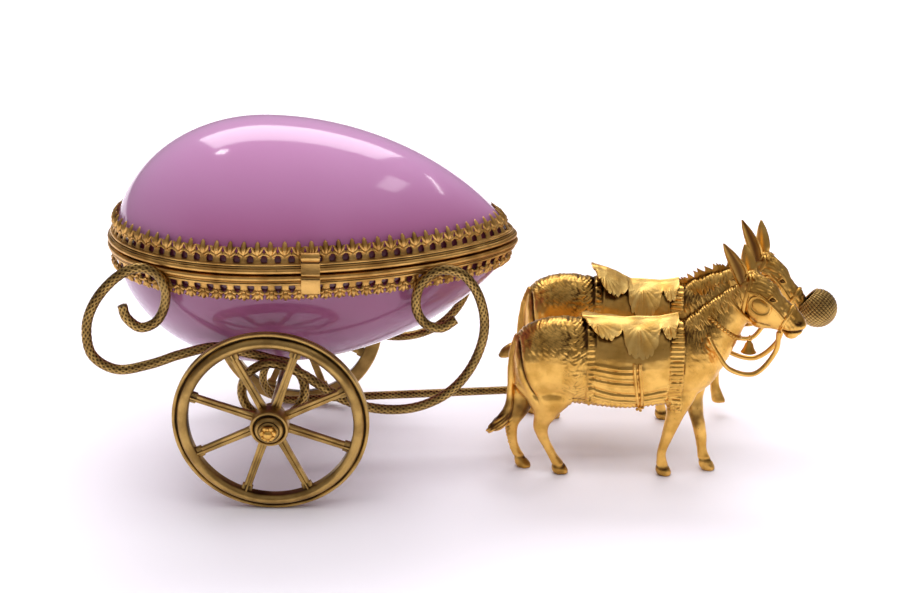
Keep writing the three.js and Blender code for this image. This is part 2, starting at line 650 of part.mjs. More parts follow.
// Reins: a wire loop on each side from the corner of the mouth down and back to the neck
function rein(pose, side) {
  const move = carriage(pose);
  const mouth = move.head(new THREE.Vector3(57.5, side * 4.9, 61.4));
  const shift = move.neck(0.5)(new THREE.Vector3(33, 0, 56)).sub(new THREE.Vector3(33, 0, 56));
  const body = side < 0
    ? [[54.6, -8.6, 53.3], [47.5, -8.4, 44.2], [38, -9.6, 46.4], [33.4, -9.8, 52.5], [30, -8.4, 58.4]]
    : [[56.6, 2, 52.4], [49.8, 5.4, 45], [41.6, 8.4, 45.6], [35, 9.6, 51], [30, 8.4, 58.4]];
  const points = body.map(([x, y, z]) => new THREE.Vector3(x, y, z).add(shift));
  return solidOf(rod([mouth, ...points], reinRadius, 4, 10));
}

// A small bell that hangs from the collar in front of the neck
function neckBell(pose) {
  const profile = [[0, 0], [bellRadius, 0], [bellRadius * 0.72, bellHeight * 0.26],
    [bellRadius * 0.5, bellHeight * 0.6], [bellRadius * 0.22, bellHeight * 0.72],
    [bellRadius * 0.34, bellHeight * 0.86], [0, bellHeight]];
  const hang = carriage(pose).neck(0.4)(new THREE.Vector3(46, 0, 50)).sub(new THREE.Vector3(0, 1.2, 0));
  return solidOf(lathe(profile, 7)).translate(hang.x, hang.y, hang.z);
}

// Muzzle basket: a hollow knurled ball over the far donkey's mouth
function muzzleBasket(pose) {
  const move = carriage(pose);
  const grown = headRings.map(([tx, tz, lx, lz, half]) => [tx + 0.3, tz + 0.6, lx - 0.3, lz - 0.6, half + 0.5]);
  const mouthHole = solidOf(loft(grown.map((r) => ringBetween(r, 8).map(move.head))));
  const centre = move.head(new THREE.Vector3(69.7, 0, 64.5));
  const ball = (radius) => solidOf(new THREE.SphereGeometry(radius, 9, 6))
    .translate(centre.x, centre.y, centre.z);
  return ball(basketRadius).subtract(ball(basketRadius - basketWall)).subtract(mouthHole);
}

// Assembly
const casket = new THREE.Group();
const eggFrame = new THREE.Group();
eggFrame.position.copy(eggCentre).add(new THREE.Vector3(0, 0, seamHeight));
eggFrame.rotation.y = THREE.MathUtils.degToRad(eggTiltDeg);
eggFrame.add(
  piece('egg_lid_glass', glassHalf(1), opaline),
  piece('egg_base_glass', glassHalf(-1), opaline),
  piece('lid_rim_ring', rimRing(1), rimGilt),
  piece('base_rim_ring', rimRing(-1), rimGilt),
  piece('lid_leaf_gallery', leafGallery(1, lidGalleryHeight), rimGilt),
  piece('base_leaf_gallery', leafGallery(-1, baseGalleryHeight), rimGilt),
  piece('hinge_lid_leaf', hingeLeaf(1), rimGilt),
  piece('hinge_base_leaf', hingeLeaf(-1), rimGilt),
  piece('hinge_pin', solidOf(barLength(-hingeLength / 2, hingeLength / 2, hingePinRadius, 8))
    .translate(0, hingeAxisOut, 0), rimGilt),
  piece('clasp_lid_catch', claspLid(), rimGilt),
  piece('clasp_base_plate', claspBase(), rimGilt),
);
casket.add(eggFrame);

for (const [word, side] of [['near', -1], ['far', 1]]) {
  casket.add(
    piece(`${word}_side_frame`, sideFrame(side), antiqueGilt),
    piece(`${word}_wheel`, placeWheel(wheel(), side), antiqueGilt),
    piece(`${word}_hub_nut`, hubNut(side), brightGilt),
  );
  const pose = pairOfDonkeys[word];
  const team = new THREE.Group();
  team.position.copy(side < 0 ? nearDonkeyPlace : farDonkeyPlace);
  team.rotation.z = side < 0 ? nearDonkeyTurn : farDonkeyTurn;
  team.add(
    piece(`${word}_donkey`, donkey(pose), brightGilt),
    piece(`${word}_leaf_saddle`, leafSaddle(pose), brightGilt),
    piece(`${word}_girth_wire`, girth(pose, -1), brightGilt),
    piece(`${word}_rein_left`, rein(pose, 1), brightGilt),
    piece(`${word}_rein_right`, rein(pose, -1), brightGilt),
    piece(`${word}_neck_bell`, neckBell(pose), brightGilt),
  );
  if (side > 0) team.add(piece('muzzle_basket', muzzleBasket(pose), antiqueGilt));
  casket.add(team);
}

// The crossbar stops short of each donkey's inner flank
const crossbarHeight = poleHeight(crossbarPlace) + poleRadius + touchGap + crossbarRadius;
const crossbarEnd = (place, pose, side) => {
  const level = new THREE.Vector3(crossbarPlace - place.x, 0, crossbarHeight + crossbarRadius);
  const { x, z } = turnedAbout(hip, new THREE.Vector3(0, 1, 0), -pose.dip)(level);
  return place.y - side * (flankAt(x, z) + touchGap + 0.4);
};
const crossbar = rod(new THREE.LineCurve3(
  new THREE.Vector3(crossbarPlace, crossbarEnd(nearDonkeyPlace, pairOfDonkeys.near, -1), crossbarHeight),
  new THREE.Vector3(crossbarPlace, crossbarEnd(farDonkeyPlace, pairOfDonkeys.far, 1), crossbarHeight),
), crossbarRadius, 8, 1);
casket.add(
  piece('axle', axle(), antiqueGilt),
  piece('draught_pole', draughtPole(), antiqueGilt),
  piece('pole_crossbar', solidOf(crossbar), antiqueGilt),
);

// The origin is the middle of the whole group's box, on the ground
const bounds = new THREE.Box3().setFromObject(casket, true);
const middle = bounds.getCenter(new THREE.Vector3());
casket.position.set(-middle.x, -middle.y, -bounds.min.z);

export default casket;
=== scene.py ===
import json
import math
from itertools import product

import bpy
import numpy as np
from mathutils import Matrix, Vector

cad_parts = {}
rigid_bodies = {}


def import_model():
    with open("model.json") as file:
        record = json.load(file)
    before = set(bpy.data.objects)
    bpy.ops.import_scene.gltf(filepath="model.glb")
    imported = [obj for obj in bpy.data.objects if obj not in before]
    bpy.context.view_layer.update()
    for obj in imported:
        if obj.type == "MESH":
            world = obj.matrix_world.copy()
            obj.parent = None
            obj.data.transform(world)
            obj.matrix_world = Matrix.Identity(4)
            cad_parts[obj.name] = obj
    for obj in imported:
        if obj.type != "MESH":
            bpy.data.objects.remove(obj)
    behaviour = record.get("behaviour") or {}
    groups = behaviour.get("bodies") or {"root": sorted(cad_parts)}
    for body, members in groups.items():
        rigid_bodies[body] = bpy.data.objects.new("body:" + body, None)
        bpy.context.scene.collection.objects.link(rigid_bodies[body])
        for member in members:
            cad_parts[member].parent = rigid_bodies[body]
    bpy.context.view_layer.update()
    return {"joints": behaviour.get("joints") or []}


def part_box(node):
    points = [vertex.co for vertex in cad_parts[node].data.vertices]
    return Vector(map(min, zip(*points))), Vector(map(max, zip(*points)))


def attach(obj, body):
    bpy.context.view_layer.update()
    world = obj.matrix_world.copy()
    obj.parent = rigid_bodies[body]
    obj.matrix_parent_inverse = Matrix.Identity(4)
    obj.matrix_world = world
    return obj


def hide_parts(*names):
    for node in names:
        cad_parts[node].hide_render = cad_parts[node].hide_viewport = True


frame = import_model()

# Opaline glass egg casket on a gilt cart drawn by two gilt donkeys.
# Pieces are worked out in millimetres from the place where the near wheel stands, then moved into the frame.

mm = 0.001
wheelJoint = next(j for j in frame["joints"] if j["name"] == "wheel_near_spin")
wheelRadius = 35
camber = math.radians(4.7)
hubHeight = wheelRadius * math.cos(camber)
groupShift = np.array([wheelJoint["pos_m"][0] / mm, 0, wheelJoint["pos_m"][2] / mm - hubHeight])


# Numbers and curves

def smoothStep(low, high, value):
    share = np.clip((np.asarray(value, float) - low) / (high - low), 0, 1)
    return share * share * (3 - 2 * share)


def bump(value, centre, width):
    return np.clip(1 - np.abs(np.asarray(value, float) - centre) / width, 0, 1)


def scatter(*keys):    # a fixed random number from 0 to 1 for each set of whole numbers
    total = sum(np.asarray(key, float) * factor for key, factor in zip(keys, (12.9898, 78.233, 37.719)))
    return np.modf(np.abs(np.sin(total + 0.37) * 43758.5453))[0]


def lumps(points, size):    # smooth noise from -1 to 1
    place = np.asarray(points, float) / size
    base = np.floor(place)
    part = place - base
    part = part * part * (3 - 2 * part)
    value = np.zeros(len(place))
    for corner in product((0, 1), repeat=3):
        weight = np.prod(np.where(np.array(corner) == 1, part, 1 - part), axis=1)
        value += weight * scatter(*(base + corner).T)
    return value * 2 - 1


def strokes(across, along, pitch, length, seed=0):    # short hair-like ridges from 0 to 1
    column = np.floor(across / pitch)
    part = across / pitch - column
    run = along / length + scatter(column, seed)
    cell = np.floor(run)
    height = 0.45 + 0.55 * scatter(column, cell, seed)
    return np.sin(math.pi * part) * np.sqrt(np.abs(np.sin(math.pi * (run - cell)))) * height


def curveThrough(points, perSpan=16):
    p = np.asarray(points, float)
    p = np.vstack([2 * p[0] - p[1], p, 2 * p[-1] - p[-2]])
    a, b, c, d = p[:-3], p[1:-2], p[2:-1], p[3:]
    ab, bc, cd = (np.sqrt(np.linalg.norm(v - u, axis=1))[:, None] for u, v in ((a, b), (b, c), (c, d)))
    start = ((b - a) / ab - (c - a) / (ab + bc) + (c - b) / bc) * bc
    finish = ((c - b) / bc - (d - b) / (bc + cd) + (d - c) / cd) * bc
    t = np.linspace(0, 1, perSpan, endpoint=False)[None, :, None]
    b, c, start, finish = b[:, None], c[:, None], start[:, None], finish[:, None]
    spans = ((2 * t**3 - 3 * t**2 + 1) * b + (t**3 - 2 * t**2 + t) * start
             + (3 * t**2 - 2 * t**3) * c + (t**3 - t**2) * finish)
    return np.vstack([spans.reshape(-1, p.shape[1]), p[-2][None]])


def runLength(points):
    return np.concatenate([[0], np.cumsum(np.linalg.norm(np.diff(points, axis=0), axis=1))])


def evenly(points, count):
    along = runLength(points)
    stops = np.linspace(0, along[-1], count)
    return np.stack([np.interp(stops, along, points[:, k]) for k in range(points.shape[1])], axis=1)


def turned(points, axis, angle, pivot=(0, 0, 0)):
    matrix = np.array(Matrix.Rotation(angle, 3, axis))
    return (np.asarray(points, float) - pivot) @ matrix.T + pivot


# Forms: points, faces and a darkening tone for each point (recess): painted shade in hollows, gaps and underneath,
# random dirt, and on the glass a painted top-to-bottom shading

def form(points, quads=(), tris=(), recess=0.0):
    points = np.asarray(points, float).reshape(-1, 3)
    tone = np.full(len(points), float(recess)) if np.isscalar(recess) else np.asarray(recess, float).ravel()
    return {"points": points, "quads": np.asarray(quads, int).reshape(-1, 4),
            "tris": np.asarray(tris, int).reshape(-1, 3), "recess": tone}


def outward(shape):
    tris = np.vstack([shape["tris"], shape["quads"][:, :3], shape["quads"][:, [0, 2, 3]]])
    a, b, c = (shape["points"][tris[:, k]] - shape["points"].mean(0) for k in range(3))
    if np.einsum("ij,ij->", a, np.cross(b, c)) < 0:
        shape["tris"] = shape["tris"][:, ::-1]
        shape["quads"] = shape["quads"][:, ::-1]
    return shape


def moved(shape, move):
    return {**shape, "points": move(shape["points"])}


def joined(shapes):
    start = np.cumsum([0] + [len(s["points"]) for s in shapes])
    return {
        "points": np.vstack([s["points"] for s in shapes]),
        "quads": np.vstack([s["quads"] + k for s, k in zip(shapes, start)]),
        "tris": np.vstack([s["tris"] + k for s, k in zip(shapes, start)]),
        "recess": np.concatenate([s["recess"] for s in shapes]),
    }


def skin(grid, recess=0.0, across=True, along=False, caps=True):
    rows, columns = grid.shape[:2]
    index = np.arange(rows * columns).reshape(rows, columns)
    low = index if along else index[:-1]
    high = np.roll(index, -1, axis=0) if along else index[1:]
    if across:
        corners = (low, np.roll(low, -1, axis=1), np.roll(high, -1, axis=1), high)
    else:
        corners = (low[:, :-1], low[:, 1:], high[:, 1:], high[:, :-1])
    quads = np.stack([corner.ravel() for corner in corners], axis=1)
    points = grid.reshape(-1, 3)
    tone = np.broadcast_to(recess, (rows, columns)).ravel()
    tris = np.zeros((0, 3), int)
    if across and not along and caps:
        fans = []
        for k, ring in enumerate((index[0], index[-1])):
            points = np.vstack([points, grid[0 if k == 0 else -1].mean(0)])
            tone = np.append(tone, tone[ring].mean())
            tip = np.full(columns, len(points) - 1)
            pair = (np.roll(ring, -1), ring) if k == 0 else (ring, np.roll(ring, -1))
            fans.append(np.stack([*pair, tip], axis=1))
        tris = np.vstack(fans)
    return form(points, quads, tris, tone)


def lathe(profile, sides, ripple=None, closed=False, recess=None):
    profile = np.asarray(profile, float)
    angle = np.linspace(0, 2 * math.pi, sides, endpoint=False)
    radius = np.repeat(profile[:, 0][:, None], sides, axis=1)
    if ripple is not None:
        radius = radius * ripple(profile[:, 1][:, None], angle[None, :])
    height = np.repeat(profile[:, 1][:, None], sides, axis=1)
    grid = np.stack([radius * np.cos(angle), radius * np.sin(angle), height], axis=2)
    tone = 0.0 if recess is None else np.repeat(np.asarray(recess, float)[:, None], sides, axis=1)
    return outward(skin(grid, tone, along=closed))


def frames(path):
    tangent = np.gradient(path, axis=0)
    tangent /= np.linalg.norm(tangent, axis=1)[:, None]
    guide = np.array([0, 1, 0]) if abs(tangent[0, 1]) < 0.8 else np.array([1, 0, 0])
    side = np.zeros_like(path)
    for i, t in enumerate(tangent):
        guide = guide - t * guide.dot(t)
        guide = guide / np.linalg.norm(guide)
        side[i] = guide
    return tangent, side, np.cross(tangent, side)


def tube(path, radius, sides, relief=None, closed=False, flat=1.0, shade=0.6):
    tangent, side, other = frames(path)
    angle = np.linspace(0, 2 * math.pi, sides, endpoint=False)
    reach = np.broadcast_to(np.reshape(radius, (-1, 1)), (len(path), sides)).astype(float)
    tone = np.zeros_like(reach)
    if relief is not None:
        lift = relief(runLength(path)[:, None], angle[None, :])
        reach = reach + lift
        tone = np.clip(0.8 * shade - lift / max(np.abs(lift).max(), 1e-6) * shade, 0, 1)
    grid = (path[:, None] + side[:, None] * (reach * np.cos(angle))[..., None]
            + other[:, None] * (reach * flat * np.sin(angle))[..., None])
    return outward(skin(grid, tone, along=closed))


def slab(outline, low, high, bevel):    # an outline in a plane, with its edges eased
    outline = np.asarray(outline, float)
    middle = outline.mean(0)
    inset = middle + (outline - middle) * (1 - bevel / np.abs(outline - middle).max(0))
    rings = ((inset, low), (outline, low + bevel), (outline, high - bevel), (inset, high))
    grid = np.array([[(u, v, height) for u, v in ring] for ring, height in rings])
    return outward(skin(grid))


def petal(spine, widths, depth, normal=(0, 0, 1), fold=1.0, recess=0.0):
    spine = np.asarray(spine, float)
    widths = np.asarray(widths, float)[:, None, None]
    normal = np.asarray(normal, float)
    tangent = np.gradient(spine, axis=0)
    across = np.cross(tangent, normal)
    across /= np.linalg.norm(across, axis=1)[:, None]
    section = np.array([[-1, 0], [-0.55, 0.75], [0, fold], [0.55, 0.75], [1, 0], [0, -0.35]])
    taper = np.clip(widths / widths.max(), 0.35, 1)
    grid = (spine[:, None] + across[:, None] * section[None, :, :1] * widths
            + normal * section[None, :, 1:] * depth * taper)
    # Darker along the edges and underneath: painted shade
    tone = np.broadcast_to(np.array([0.9, 0.3, 0, 0.3, 0.9, 1.0]) * 0.7 + recess, grid.shape[:2])
    return outward(skin(grid, np.clip(tone, 0, 1)))


def ball(centre, radius, sides=8):
    turn = np.linspace(0, math.pi, sides // 2 + 1)[1:-1]
    shape = lathe(np.stack([np.sin(turn), -np.cos(turn)], axis=1) * radius, sides)
    return moved(shape, lambda p: p + centre)


def makePiece(name, shape, finish, body, node, sharp=38):
    mesh = bpy.data.meshes.new(name)
    points = (shape["points"] + groupShift) * mm
    mesh.from_pydata(points.tolist(), [], shape["quads"].tolist() + shape["tris"].tolist())
    tone = mesh.attributes.new("recess", "FLOAT", "POINT")
    tone.data.foreach_set("value", np.clip(shape["recess"], 0, 1).astype(np.float32))
    mesh.polygons.foreach_set("use_smooth", np.ones(len(mesh.polygons), bool))
    mesh.set_sharp_from_angle(angle=math.radians(sharp))
    mesh.materials.append(finish)
    mesh.update()
    piece = bpy.data.objects.new(name, mesh)
    bpy.context.scene.collection.objects.link(piece)
    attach(piece, body)
    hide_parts(node)
    return piece


# Finishes

def newFinish(name):
    finish = bpy.data.materials.new(name)
    finish.use_nodes = True
    nodes = finish.node_tree.nodes
    return finish, nodes, finish.node_tree.links, nodes["Principled BSDF"]


def noiseNode(nodes, links, scale, detail, source):
    noise = nodes.new("ShaderNodeTexNoise")
    noise.inputs["Scale"].default_value = scale
    noise.inputs["Detail"].default_value = detail
    links.new(source.outputs["Object"], noise.inputs["Vector"])
    return noise


def mixNode(nodes, links, factor, first, second):
    mix = nodes.new("ShaderNodeMix")
    mix.data_type = "RGBA"
    links.new(factor, mix.inputs["Factor"])
    for socket, value in ((mix.inputs["A"], first), (mix.inputs["B"], second)):
        if isinstance(value, tuple):
            socket.default_value = (*value, 1)
        else:
            links.new(value, socket)
    return mix.outputs["Result"]


def rampNode(nodes, links, source, low, high):
    ramp = nodes.new("ShaderNodeMapRange")
    ramp.interpolation_type = "SMOOTHSTEP"
    ramp.inputs["From Min"].default_value = low
    ramp.inputs["From Max"].default_value = high
    links.new(source, ramp.inputs["Value"])
    return ramp.outputs["Result"]


def gilt(name, bright, warm, dark, smoothness, grain):
    finish, nodes, links, shader = newFinish(name)
    place = nodes.new("ShaderNodeTexCoord")
    tone = nodes.new("ShaderNodeAttribute")
    tone.attribute_name = "recess"
    patches = noiseNode(nodes, links, 130, 4, place)
    fine = noiseNode(nodes, links, 1400, 3, place)
    worn = mixNode(nodes, links, rampNode(nodes, links, patches.outputs["Fac"], 0.38, 0.66), bright, warm)
    spots = mixNode(nodes, links, rampNode(nodes, links, fine.outputs["Fac"], 0.66, 0.84), worn, dark)
    # The recess tone darkens the colour towards the dark gilt: painted shade in hollows and gaps, with the random
    # dirt that the same tone carries
    hollow = rampNode(nodes, links, tone.outputs["Fac"], 0.25, 0.95)
    colour = mixNode(nodes, links, hollow, spots, dark)
    links.new(colour, shader.inputs["Base Color"])
    shader.inputs["Metallic"].default_value = 1
    rough = nodes.new("ShaderNodeMapRange")
    rough.inputs["To Min"].default_value = smoothness
    rough.inputs["To Max"].default_value = smoothness + 0.22
    links.new(patches.outputs["Fac"], rough.inputs["Value"])
    links.new(rough.outputs["Result"], shader.inputs["Roughness"])
    relief = nodes.new("ShaderNodeBump")
    relief.inputs["Strength"].default_value = grain
    relief.inputs["Distance"].default_value = 0.0002
    links.new(fine.outputs["Fac"], relief.inputs["Height"])
    links.new(relief.outputs["Normal"], shader.inputs["Normal"])
    return finish


def opaline(name, values):
    finish, nodes, links, shader = newFinish(name)
    place = nodes.new("ShaderNodeTexCoord")
    tone = nodes.new("ShaderNodeAttribute")
    tone.attribute_name = "recess"
    clouds = noiseNode(nodes, links, 14, 2, place)
    # The recess tone runs the colour from the upper to the lower one: painted light on the upper glass and painted
    # shade on the lower
    depth = rampNode(nodes, links, tone.outputs["Fac"], 0, 0.75)
    body = mixNode(nodes, links, depth, values["upper"], values["lower"])
    cloudy = rampNode(nodes, links, clouds.outputs["Fac"], 0.35, 0.75)
    milk = mixNode(nodes, links, cloudy, body, values["milk"])
    # Paler towards the silhouette by the facing angle: a painted sheen
    edge = nodes.new("ShaderNodeLayerWeight")
    edge.inputs["Blend"].default_value = values["edgeBlend"]
    blend = nodes.new("ShaderNodeMix")
    blend.data_type = "RGBA"
    blend.inputs["Factor"].default_value = values["cloudShare"]
    links.new(body, blend.inputs["A"])
    links.new(milk, blend.inputs["B"])
    colour = mixNode(nodes, links, edge.outputs["Facing"], blend.outputs["Result"], values["edge"])
    colour = mixNode(nodes, links, rampNode(nodes, links, tone.outputs["Fac"], 0.8, 1), colour,
                     values["shade"])
    links.new(colour, shader.inputs["Base Color"])
    shader.inputs["Roughness"].default_value = values["roughness"]
    shader.inputs["IOR"].default_value = 1.5
    shader.inputs["Subsurface Weight"].default_value = values["milkiness"]
    shader.inputs["Subsurface Radius"].default_value = (1.0, 0.6, 0.9)
    shader.inputs["Subsurface Scale"].default_value = 0.004
    shader.inputs["Coat Weight"].default_value = 0.4
    shader.inputs["Coat Roughness"].default_value = 0.06
    relief = nodes.new("ShaderNodeBump")
    relief.inputs["Strength"].default_value = 0.05
    relief.inputs["Distance"].default_value = 0.001
    links.new(clouds.outputs["Fac"], relief.inputs["Height"])
    links.new(relief.outputs["Normal"], shader.inputs["Normal"])
    return finish


opalineValues = {
    "upper": (0.47, 0.19, 0.38), "lower": (0.31, 0.055, 0.15), "milk": (0.52, 0.25, 0.44),
    "shade": (0.15, 0.028, 0.045), "edge": (0.60, 0.40, 0.62), "edgeBlend": 0.22, "cloudShare": 0.35,
    "roughness": 0.12, "milkiness": 0.2,
}
opalineGlass = opaline("opaline_lilac", opalineValues)
brightGilt = gilt("bright_gilt_brass", (0.90, 0.54, 0.13), (0.66, 0.36, 0.07), (0.10, 0.045, 0.012), 0.22,
                  0.25)
leafGilt = gilt("pale_leaf_gilt", (1.0, 0.67, 0.20), (0.86, 0.50, 0.11), (0.12, 0.055, 0.012), 0.30, 0.5)
rimGilt = gilt("worn_rim_gilt", (0.80, 0.48, 0.14), (0.52, 0.28, 0.07), (0.05, 0.024, 0.010), 0.26, 0.3)
antiqueGilt = gilt("antique_gilt_brass", (0.56, 0.36, 0.11), (0.36, 0.22, 0.065), (0.045, 0.026, 0.010), 0.24,
                   0.35)
print("finishes made")


# Egg form: long axis along X, widest place at x = 0, heights measured from the axis

egg = {
    "radius": 46.3, "blunt": 55.5, "point": 91.6, "wall": 4, "centre": (-2.7, 0,
                                                                        87.7), "tilt": math.radians(1),
    "seamHeight": 1.6, "seamGap": 0.7, "flange": 1, "touchGap": 0.3, "rays": 176, "rings": 50,
}


def eggHalfWidth(x, inset=0.0):
    length = np.where(x < 0, egg["blunt"], egg["point"]) - inset
    share = np.minimum(np.abs(x) / length, 1)
    taper = np.where(x < 0, 1, 1 - 0.244 * share**2 - 0.118 * share**6)
    return (egg["radius"] - inset) * np.sqrt(1 - share * share) * taper


def inEggFrame(points):    # from heights above the seam to the cart's own frame
    place = np.array(egg["centre"]) + (0, 0, egg["seamHeight"])
    return turned(points, "Y", egg["tilt"]) + place


def shellRadius(angle, edge, inset):    # how far a ray in plan runs before the shell meets the cut edge
    near, far = np.zeros_like(angle), np.full_like(angle, egg["point"])
    for _ in range(40):
        middle = (near + far) / 2
        room = eggHalfWidth(middle * np.cos(angle), inset)**2 - (middle * np.sin(angle))**2 - edge**2
        near, far = np.where(room > 0, middle, near), np.where(room > 0, far, middle)
    return near


def glassHalf(side):
    edge = egg["seamHeight"] + side * (egg["seamGap"] / 2 + egg["flange"] + egg["touchGap"])
    angle = np.linspace(0, 2 * math.pi, egg["rays"], endpoint=False)
    out = np.sin(np.linspace(0, math.pi / 2, egg["rings"]))[:, None]
    sheets = []
    for inset in (0, egg["wall"]):
        radius = shellRadius(angle, abs(edge), inset)
        x, y = out * radius * np.cos(angle), out * radius * np.sin(angle)
        height = side * np.sqrt(np.maximum(eggHalfWidth(x, inset)**2 - y * y, edge * edge))
        sheets.append(np.stack([x, y, height - egg["seamHeight"]], axis=2))
    outer, inner = sheets
    outer[-1, :, 2] = inner[-1, :, 2] = edge - egg["seamHeight"]
    grid = np.concatenate([outer, inner[::-1]])
    # Lighter towards the lid's top and darker below the seam: painted light from above and painted shade underneath
    above = grid[..., 2] / egg["radius"]
    tone = 0.46 - 0.46 * smoothStep(0.05, 0.85, above) + 0.29 * smoothStep(0.0, -0.75, above)
    grimeAndPaintedShade = smoothStep(8.0, 6.4, np.abs(outer[..., 2]))    # painted shade on the glass just outside, behind the leaf borders
    tone[:len(outer) - 1] = np.maximum(tone[:len(outer) - 1], grimeAndPaintedShade[:-1])
    return moved(outward(skin(grid, tone)), inEggFrame)


for word, side, body in (("lid", 1, "lid"), ("base", -1, "root")):
    makePiece(f"egg_{word}", glassHalf(side), opalineGlass, body, f"egg_{word}_glass", 50)
print("egg made")


# The seam line: places round the widest outline, with the way out from it

def seamTable(count=2400):
    angle = np.linspace(0, 2 * math.pi, count + 1)
    x = -np.cos(angle) * np.where(np.cos(angle) > 0, egg["blunt"], egg["point"])
    line = np.stack([x, -np.sign(np.sin(angle)) * eggHalfWidth(x)], axis=1)
    line[[0, -1], 1] = 0
    line = evenly(line, count + 1)
    along = np.roll(line[:-1], -1, axis=0) - np.roll(line[:-1], 1, axis=0)
    along /= np.linalg.norm(along, axis=1)[:, None]
    return line[:-1], np.stack([along[:, 1], -along[:, 0]], axis=1), runLength(line)[-1]


seamPlaces, seamOut, seamLength = seamTable()


def onGlass(run, height, outward_):    # run along the seam, height above it, distance from the glass
    run, height, off = (np.asarray(v, float).ravel() for v in np.broadcast_arrays(run, height, outward_))
    share = (run / seamLength % 1) * len(seamPlaces)
    first = np.floor(share).astype(int) % len(seamPlaces)
    second = (first + 1) % len(seamPlaces)
    part = (share - np.floor(share))[:, None]
    place = seamPlaces[first] * (1 - part) + seamPlaces[second] * part
    out = seamOut[first] * (1 - part) + seamOut[second] * part
    above = np.abs(height + egg["seamHeight"])
    near, far = np.zeros(len(run)), np.full(len(run), egg["radius"] * 0.9)
    for _ in range(28):
        middle = (near + far) / 2
        point = place - out * middle[:, None]
        outside = np.hypot(point[:, 1], above) > eggHalfWidth(point[:, 0])
        near, far = np.where(outside, middle, near), np.where(outside, far, middle)
    point = place + out * (off - near)[:, None]
    return np.column_stack([point, height])


rim = {"reach": 3.0, "height": 2.5, "stations": 300}


def rimMoulding(side):
    low, reach, top = egg["seamGap"] / 2, rim["reach"], rim["height"]
    section = [(low, -egg["wall"]), (low, reach - 0.75), (low + 0.18, reach - 0.4), (low + 0.5, reach - 0.12),
               (low + 0.95, reach), (low + 1.4, reach - 0.1), (low + 1.75, reach - 0.4), (low + 1.85,
                                                                                          reach - 0.75),
               (low + 2.0, reach - 0.8), (low + 2.2, reach - 0.62), (low + top, reach - 0.8),
               (low + top, 0.6), (low + 1, 0.6), (low + 1, -egg["wall"])]
    # Darker on the parting faces at the seam gap, in the groove and on the faces against the glass: painted shade
    tones = np.array([0.45, 0.5, 0.3, 0, 0, 0, 0.25, 0.75, 0.7, 0.2, 0.4, 0.9, 0.9, 0.5])
    run = np.linspace(0, seamLength, rim["stations"], endpoint=False)
    grid = np.stack([onGlass(run, side * h, out) for h, out in section], axis=1)
    grimeAndPaintedShade = 0.2 * lumps(grid.reshape(-1, 3), 5).reshape(grid.shape[:2])
    return moved(outward(skin(grid, np.clip(tones + grimeAndPaintedShade, 0, 1), along=True)), inEggFrame)


gallery = {"pitch": 4.7, "lidHeight": 11.3, "baseHeight": 10.0, "standOff": 0.35, "thickness": 1.0}


def leafMotif(tall, index):    # one stem and palmette, in (run, height, out), from the foot of the strip
    lean = (scatter(index, 3) - 0.5) * 0.6
    droop = 0.45 * scatter(index, 7)
    stem = [(0, height, 0.05 + 0.03 * height) for height in (0.1, 0.5, 1.1, 1.9, 2.7, 3.3, 3.75)]
    parts = [petal(stem, [2.35, 1.8, 1.35, 1.15, 1.35, 1.8, 2.35], 0.65)]
    for way in (-1, 1):
        parts.append(petal([(way * 0.5, 3.0, 0.25), (way * 1.2, 3.7, 0.5), (way * 1.9, 4.1, 0.6),
                            (way * 2.4, 3.9 - droop, 0.95)], [0.6, 0.85, 0.7, 0.2], 0.8))
        parts.append(petal([(way * 0.4, 3.6, 0.3), (way * 1.15, 4.9, 0.75),
                            (way * 1.65 + lean * 0.5, 5.9, 0.95),
                            (way * 2.2 + lean, tall * 0.80, 1.3)], [0.55, 0.8, 0.6, 0.12], 0.8))
    parts.append(petal([(0, 3.2, 0.4), (lean * 0.3, tall * 0.56, 1.0), (lean * 0.7, tall * 0.78, 1.0),
                        (lean, tall * 0.93, 0.75), (lean * 1.2, tall, 0.6)], [0.6, 0.85, 1.0, 0.7,
                                                                              0.12], 0.95))
    parts.append(ball((0, 3.4, 0.95), 0.6, 6))
    return joined(parts)


def leafGallery(side, crest):
    low = egg["seamGap"] / 2 + rim["height"] + egg["touchGap"]
    count = round(seamLength / gallery["pitch"])
    pitch = seamLength / count
    motifs = []
    for k in range(count):
        motif = leafMotif(crest - low, k + (500 if side < 0 else 0))
        motifs.append(moved(motif, lambda p, k=k: p * (pitch / gallery["pitch"], 1, 1) + (k * pitch, 0, 0)))
    whole = joined(motifs)
    run, height, out = whole["points"].T
    lift = np.interp(height, [0, 3, crest - low], [0.9, 0.35, 0.1])
    whole["points"] = onGlass(run, side * (height + low), out + gallery["standOff"] + lift)
    station = np.linspace(0, seamLength, 3 * count, endpoint=False)
    strip = [(0, 0.5), (0, 2.0), (0.35, 2.15), (0.75, 1.95), (0.8, 0.5)]
    grid = np.stack([onGlass(station, side * (low + h), out) for h, out in strip], axis=1)
    whole = joined([outward(whole) if side > 0 else whole, outward(skin(grid, 0.35, along=True))])
    if side < 0:
        whole["quads"][:-5 * len(station)] = whole["quads"][:-5 * len(station), ::-1]
        whole["tris"] = whole["tris"][:, ::-1]
    grimeAndPaintedShade = 0.28 * lumps(whole["points"], 7) + 0.12 * lumps(whole["points"], 2)
    whole["recess"] = np.clip(whole["recess"] * 0.9 + grimeAndPaintedShade, 0, 1)
    return moved(whole, inEggFrame)


for word, side, body in (("lid", 1, "lid"), ("base", -1, "root")):
    makePiece(f"{word}_moulding", rimMoulding(side), rimGilt, body, f"{word}_rim_ring", 42)
    leaves = leafGallery(side, gallery[f"{word}Height"])
    makePiece(f"{word}_leaf_border", leaves, rimGilt, body, f"{word}_leaf_gallery", 55)
print("mouldings and leaf borders made")


# Hinge and clasp

